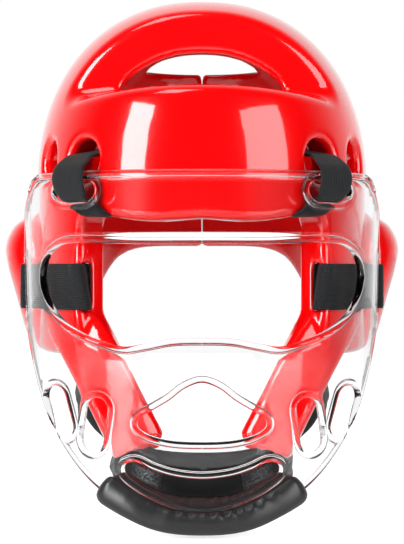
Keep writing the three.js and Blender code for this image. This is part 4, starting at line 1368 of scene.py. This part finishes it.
def weave_group():
    """Webbing woven along a strap, from a UV map in millimetres: cords along it, picks across it. Shade is
    painted shade, darker in the weave's low grooves and lighter on raised cords, times a random fibre tone.
    """
    group, start, end = new_group(
        "strap_weave",
        [
            ("UV", "NodeSocketVector", None),
            ("Cord Width", "NodeSocketFloat", 1.5),
            ("Pick Width", "NodeSocketFloat", 0.9),
        ],
        [("Height", "NodeSocketFloat"), ("Shade", "NodeSocketFloat")],
    )
    split = group.nodes.new("ShaderNodeSeparateXYZ")
    group.links.new(start.outputs["UV"], split.inputs[0])
    along = math_node(group, "DIVIDE", split.outputs["X"], start.outputs["Pick Width"])
    across = math_node(group, "DIVIDE", split.outputs["Y"], start.outputs["Cord Width"])
    row = math_node(group, "FLOOR", across)
    shifted = math_node(group, "MULTIPLY_ADD", row, 0.5)
    group.nodes[-1].inputs[2].default_value = 0.0
    offset = math_node(group, "ADD", along, shifted)
    cord = math_node(group, "ABSOLUTE", math_node(group, "SINE", math_node(group, "MULTIPLY", across, math.pi)))
    pick = math_node(group, "ABSOLUTE", math_node(group, "SINE", math_node(group, "MULTIPLY", offset, math.pi)))
    both = math_node(group, "MULTIPLY", cord, math_node(group, "MULTIPLY_ADD", pick, 0.45))
    group.nodes[-1].inputs[2].default_value = 0.0
    high = math_node(group, "ADD", both, math_node(group, "MULTIPLY", cord, 0.5))
    fuzz = noise_node(group, start.outputs["UV"], 3.0, 4.0, 0.7)
    group.links.new(high, end.inputs["Height"])
    # painted shade: the weave's low grooves come out darker and the raised cords lighter, times a random fibre
    # tone
    group.links.new(math_node(group, "MULTIPLY", high, fuzz), end.inputs["Shade"])
    return group


def new_material(name, base, roughness):
    material = bpy.data.materials.new(name)
    material.use_nodes = True
    shader = material.node_tree.nodes["Principled BSDF"]
    shader.inputs["Base Color"].default_value = (*base, 1)
    shader.inputs["Roughness"].default_value = roughness
    return material, material.node_tree, shader


def place_group(tree, group, vector_name, vector, values):
    node = tree.nodes.new("ShaderNodeGroup")
    node.node_tree = group
    tree.links.new(vector, node.inputs[vector_name])
    for label, value in values.items():
        node.inputs[label].default_value = value
    return node


def add_bump(tree, shader, height, strength, distance):
    bump = tree.nodes.new("ShaderNodeBump")
    bump.inputs["Strength"].default_value = strength
    bump.inputs["Distance"].default_value = distance
    tree.links.new(height, bump.inputs["Height"])
    tree.links.new(bump.outputs["Normal"], shader.inputs["Normal"])
    return bump


def ramp_value(tree, value, low, high):
    node = tree.nodes.new("ShaderNodeMapRange")
    tree.links.new(value, node.inputs["Value"])
    node.inputs["From Min"].default_value = 0.25
    node.inputs["From Max"].default_value = 0.75
    node.inputs["To Min"].default_value = low
    node.inputs["To Max"].default_value = high
    return node.outputs["Result"]


def ramp_colour(tree, value, low, high):
    node = tree.nodes.new("ShaderNodeMix")
    node.data_type = "RGBA"
    tree.links.new(ramp_value(tree, value, 0, 1), node.inputs["Factor"])
    node.inputs["A"].default_value = (*low, 1)
    node.inputs["B"].default_value = (*high, 1)
    return node.outputs["Result"]


DIPPED_SKIN = dipped_skin_group()
STRAP_WEAVE = weave_group()


def object_place(tree):
    return tree.nodes.new("ShaderNodeTexCoord").outputs["Object"]


def foam_red():
    material, tree, shader = new_material("foam_red", (0.8, 0.001, 0.002), 0.22)
    skin = place_group(
        tree,
        DIPPED_SKIN,
        "Vector",
        object_place(tree),
        {"Pebble Scale": 520.0, "Pebble": 0.1, "Wave Scale": 26.0, "Wave": 1.0},
    )
    colour = ramp_colour(tree, skin.outputs["Cloud"], (0.74, 0.0006, 0.0012), (0.84, 0.001, 0.002))
    tree.links.new(colour, shader.inputs["Base Color"])
    rough = ramp_value(tree, skin.outputs["Cloud"], 0.16, 0.24)
    tree.links.new(rough, shader.inputs["Roughness"])
    shader.inputs["Specular IOR Level"].default_value = 0.15
    shader.inputs["Coat Weight"].default_value = 0.9
    shader.inputs["Coat IOR"].default_value = 1.6
    shader.inputs["Coat Roughness"].default_value = 0.05
    add_bump(tree, shader, skin.outputs["Height"], 0.35, 0.0012)
    return material


def clear_sheet():
    material, tree, shader = new_material("clear_sheet", (0.985, 0.99, 0.995), 0.03)
    shader.inputs["Transmission Weight"].default_value = 1.0
    shader.inputs["IOR"].default_value = 1.5
    skin = place_group(
        tree,
        DIPPED_SKIN,
        "Vector",
        object_place(tree),
        {"Pebble Scale": 60.0, "Pebble": 0.05, "Wave Scale": 14.0, "Wave": 1.0},
    )
    add_bump(tree, shader, skin.outputs["Height"], 0.06, 0.001)
    light = tree.nodes.new("ShaderNodeLightPath")
    through = tree.nodes.new("ShaderNodeBsdfTransparent")
    mix = tree.nodes.new("ShaderNodeMixShader")
    output = tree.nodes["Material Output"]
    tree.links.new(light.outputs["Is Shadow Ray"], mix.inputs[0])
    tree.links.new(shader.outputs[0], mix.inputs[1])
    tree.links.new(through.outputs[0], mix.inputs[2])
    tree.links.new(mix.outputs[0], output.inputs["Surface"])
    return material


def vinyl(name, base, roughness, pebble, specular):
    material, tree, shader = new_material(name, base, roughness)
    shader.inputs["Specular IOR Level"].default_value = specular
    skin = place_group(
        tree,
        DIPPED_SKIN,
        "Vector",
        object_place(tree),
        {"Pebble Scale": 900.0, "Pebble": pebble, "Wave Scale": 90.0, "Wave": 0.9},
    )
    dark = tuple(0.7 * c for c in base)
    tree.links.new(
        ramp_colour(tree, skin.outputs["Cloud"], dark, base), shader.inputs["Base Color"]
    )
    rough = ramp_value(tree, skin.outputs["Cloud"], roughness - 0.06, roughness + 0.08)
    tree.links.new(rough, shader.inputs["Roughness"])
    add_bump(tree, shader, skin.outputs["Height"], 0.5, 0.0008)
    return material


def webbing_black(name="webbing_black", cord=1.1, pick=0.8):
    material, tree, shader = new_material(name, (0.01, 0.011, 0.012), 0.85)
    uv = tree.nodes.new("ShaderNodeUVMap")
    uv.uv_map = "weave"
    weave = place_group(
        tree, STRAP_WEAVE, "UV", uv.outputs["UV"], {"Cord Width": cord, "Pick Width": pick}
    )
    # the base colour holds painted shade from the weave, darker in its grooves and lighter on its cords, along
    # with a random fibre tone
    colour = ramp_colour(tree, weave.outputs["Shade"], (0.005, 0.0055, 0.006), (0.02, 0.021, 0.023))
    tree.links.new(colour, shader.inputs["Base Color"])
    shader.inputs["Specular IOR Level"].default_value = 0.2
    shader.inputs["Sheen Weight"].default_value = 0.06
    shader.inputs["Sheen Roughness"].default_value = 0.5
    add_bump(tree, shader, weave.outputs["Height"], 0.6, 0.0004)
    return material


def pile_tree(material):
    """Hook-and-loop pile: short bristles over the faces that look forwards."""
    tree = bpy.data.node_groups.new("hook_and_loop_pile", "GeometryNodeTree")
    face = tree.interface
    face.new_socket("Geometry", in_out="INPUT", socket_type="NodeSocketGeometry")
    face.new_socket("Density", in_out="INPUT", socket_type="NodeSocketFloat")
    face.new_socket("Length", in_out="INPUT", socket_type="NodeSocketFloat")
    face.new_socket("Seed", in_out="INPUT", socket_type="NodeSocketInt")
    face.new_socket("Geometry", in_out="OUTPUT", socket_type="NodeSocketGeometry")
    kinds = {
        "start": "NodeGroupInput",
        "end": "NodeGroupOutput",
        "normal": "GeometryNodeInputNormal",
        "split": "ShaderNodeSeparateXYZ",
        "forwards": "FunctionNodeCompare",
        "scatter": "GeometryNodeDistributePointsOnFaces",
        "bristle": "GeometryNodeMeshCone",
        "tilt": "FunctionNodeRandomValue",
        "turn": "FunctionNodeEulerToRotation",
        "rotate": "FunctionNodeRotateRotation",
        "size": "FunctionNodeRandomValue",
        "place": "GeometryNodeInstanceOnPoints",
        "realize": "GeometryNodeRealizeInstances",
        "join": "GeometryNodeJoinGeometry",
        "colour": "GeometryNodeSetMaterial",
    }
    node = {label: tree.nodes.new(kind) for label, kind in kinds.items()}
    node["forwards"].operation = "LESS_THAN"
    node["tilt"].data_type = "FLOAT_VECTOR"
    node["tilt"].inputs["Min"].default_value = (-0.9, -0.9, 0)
    node["tilt"].inputs["Max"].default_value = (0.9, 0.9, 3)
    size_min = [socket for socket in node["size"].inputs if socket.name == "Min" and socket.enabled]
    size_max = [socket for socket in node["size"].inputs if socket.name == "Max" and socket.enabled]
    size_min[0].default_value, size_max[0].default_value = 0.4, 1.3
    node["bristle"].inputs["Vertices"].default_value = 3
    node["bristle"].inputs["Radius Bottom"].default_value = 0.22 * MM
    node["bristle"].inputs["Radius Top"].default_value = 0.08 * MM
    node["colour"].inputs["Material"].default_value = material

    def enabled(sockets, name):
        return [socket for socket in sockets if socket.name == name and socket.enabled][0]

    def link(a, output, b, target):
        tree.links.new(enabled(node[a].outputs, output), enabled(node[b].inputs, target))

    link("normal", "Normal", "split", "Vector")
    link("split", "Y", "forwards", "A")
    link("start", "Geometry", "scatter", "Mesh")
    link("forwards", "Result", "scatter", "Selection")
    link("start", "Density", "scatter", "Density")
    link("start", "Seed", "scatter", "Seed")
    link("start", "Length", "bristle", "Depth")
    link("tilt", "Value", "turn", "Euler")
    link("scatter", "Rotation", "rotate", "Rotation")
    link("turn", "Rotation", "rotate", "Rotate By")
    link("scatter", "Points", "place", "Points")
    link("bristle", "Mesh", "place", "Instance")
    link("rotate", "Rotation", "place", "Rotation")
    link("size", "Value", "place", "Scale")
    link("place", "Instances", "realize", "Geometry")
    link("start", "Geometry", "join", "Geometry")
    link("realize", "Geometry", "join", "Geometry")
    link("join", "Geometry", "colour", "Geometry")
    link("colour", "Geometry", "end", "Geometry")
    return tree


def grow(piece, tree, values):
    """Runs a geometry tree on a piece once and keeps what it made as the piece's own mesh."""
    modifier = piece.modifiers.new("grow", "NODES")
    modifier.node_group = tree
    for item in tree.interface.items_tree:
        if item.in_out == "INPUT" and item.name in values:
            modifier[item.identifier] = values[item.name]
    piece.update_tag()
    seen = piece.evaluated_get(bpy.context.evaluated_depsgraph_get())
    mesh = bpy.data.meshes.new_from_object(seen)
    piece.modifiers.clear()
    piece.data = mesh
    return piece


def pile_pad():
    """The thin pad on the cup's front face that carries the pile."""
    line, along, out, up = cup_frames(90)
    rings = []
    for centre, outwards, upwards in zip(line, out, up):
        if not PILE["from_x"] < centre[0] < PILE["to_x"]:
            continue
        ring = []
        for lift, heights in ((0.5, PILE["heights"]), (-0.6, PILE["heights"][::-1])):
            for height in heights:
                level = 1 - abs(2 * height / CHIN_CUP["height"]) ** 2.7
                front = 0.5 * CHIN_CUP["thickness"] * level ** (1 / 2.4)
                ring.append(centre + upwards * height + outwards * (front + lift))
        rings.append(np.array(ring))
    return sweep("hook_and_loop_right", rings, closed=False)


FOAM_RED = foam_red()
CLEAR_SHEET = clear_sheet()
ROLL_BLACK = vinyl("roll_black", (0.014, 0.0145, 0.0155), 0.34, 0.16, 0.5)
CUP_BLACK = vinyl("cup_black", (0.008, 0.0085, 0.009), 0.42, 0.3, 0.25)
WEB_BLACK = webbing_black()
PILE_BLACK, _, pile_shader = new_material("pile_black", (0.03, 0.031, 0.034), 0.3)
pile_right = grow(pile_pad(), pile_tree(PILE_BLACK), {"Density": 4.0e6, "Length": MM, "Seed": 11})
pile_left = mirror_piece(pile_right, "hook_and_loop_left")
ELASTIC_BLACK = webbing_black("elastic_black", 3.2, 1.1)

finish_piece(shell_piece, FOAM_RED, ["foam_shell"])
finish_piece(shield_piece, CLEAR_SHEET, ["face_shield"])
finish_piece(roll_piece, ROLL_BLACK, ["chin_roll"])
finish_piece(cup_piece, CUP_BLACK, ["chin_cup"])
finish_piece(rear_piece, ELASTIC_BLACK, ["rear_strap"])
for side in ("right", "left"):
    for kind in ("upper_strap", "side_strap", "chin_strap"):
        piece = bpy.data.objects[f"{kind}_web_{side}"]
        finish_piece(piece, WEB_BLACK, [f"{kind}_{side}"])
for piece in (pile_right, pile_left):
    finish_piece(piece, PILE_BLACK)
keep_glare_off(shield_piece)
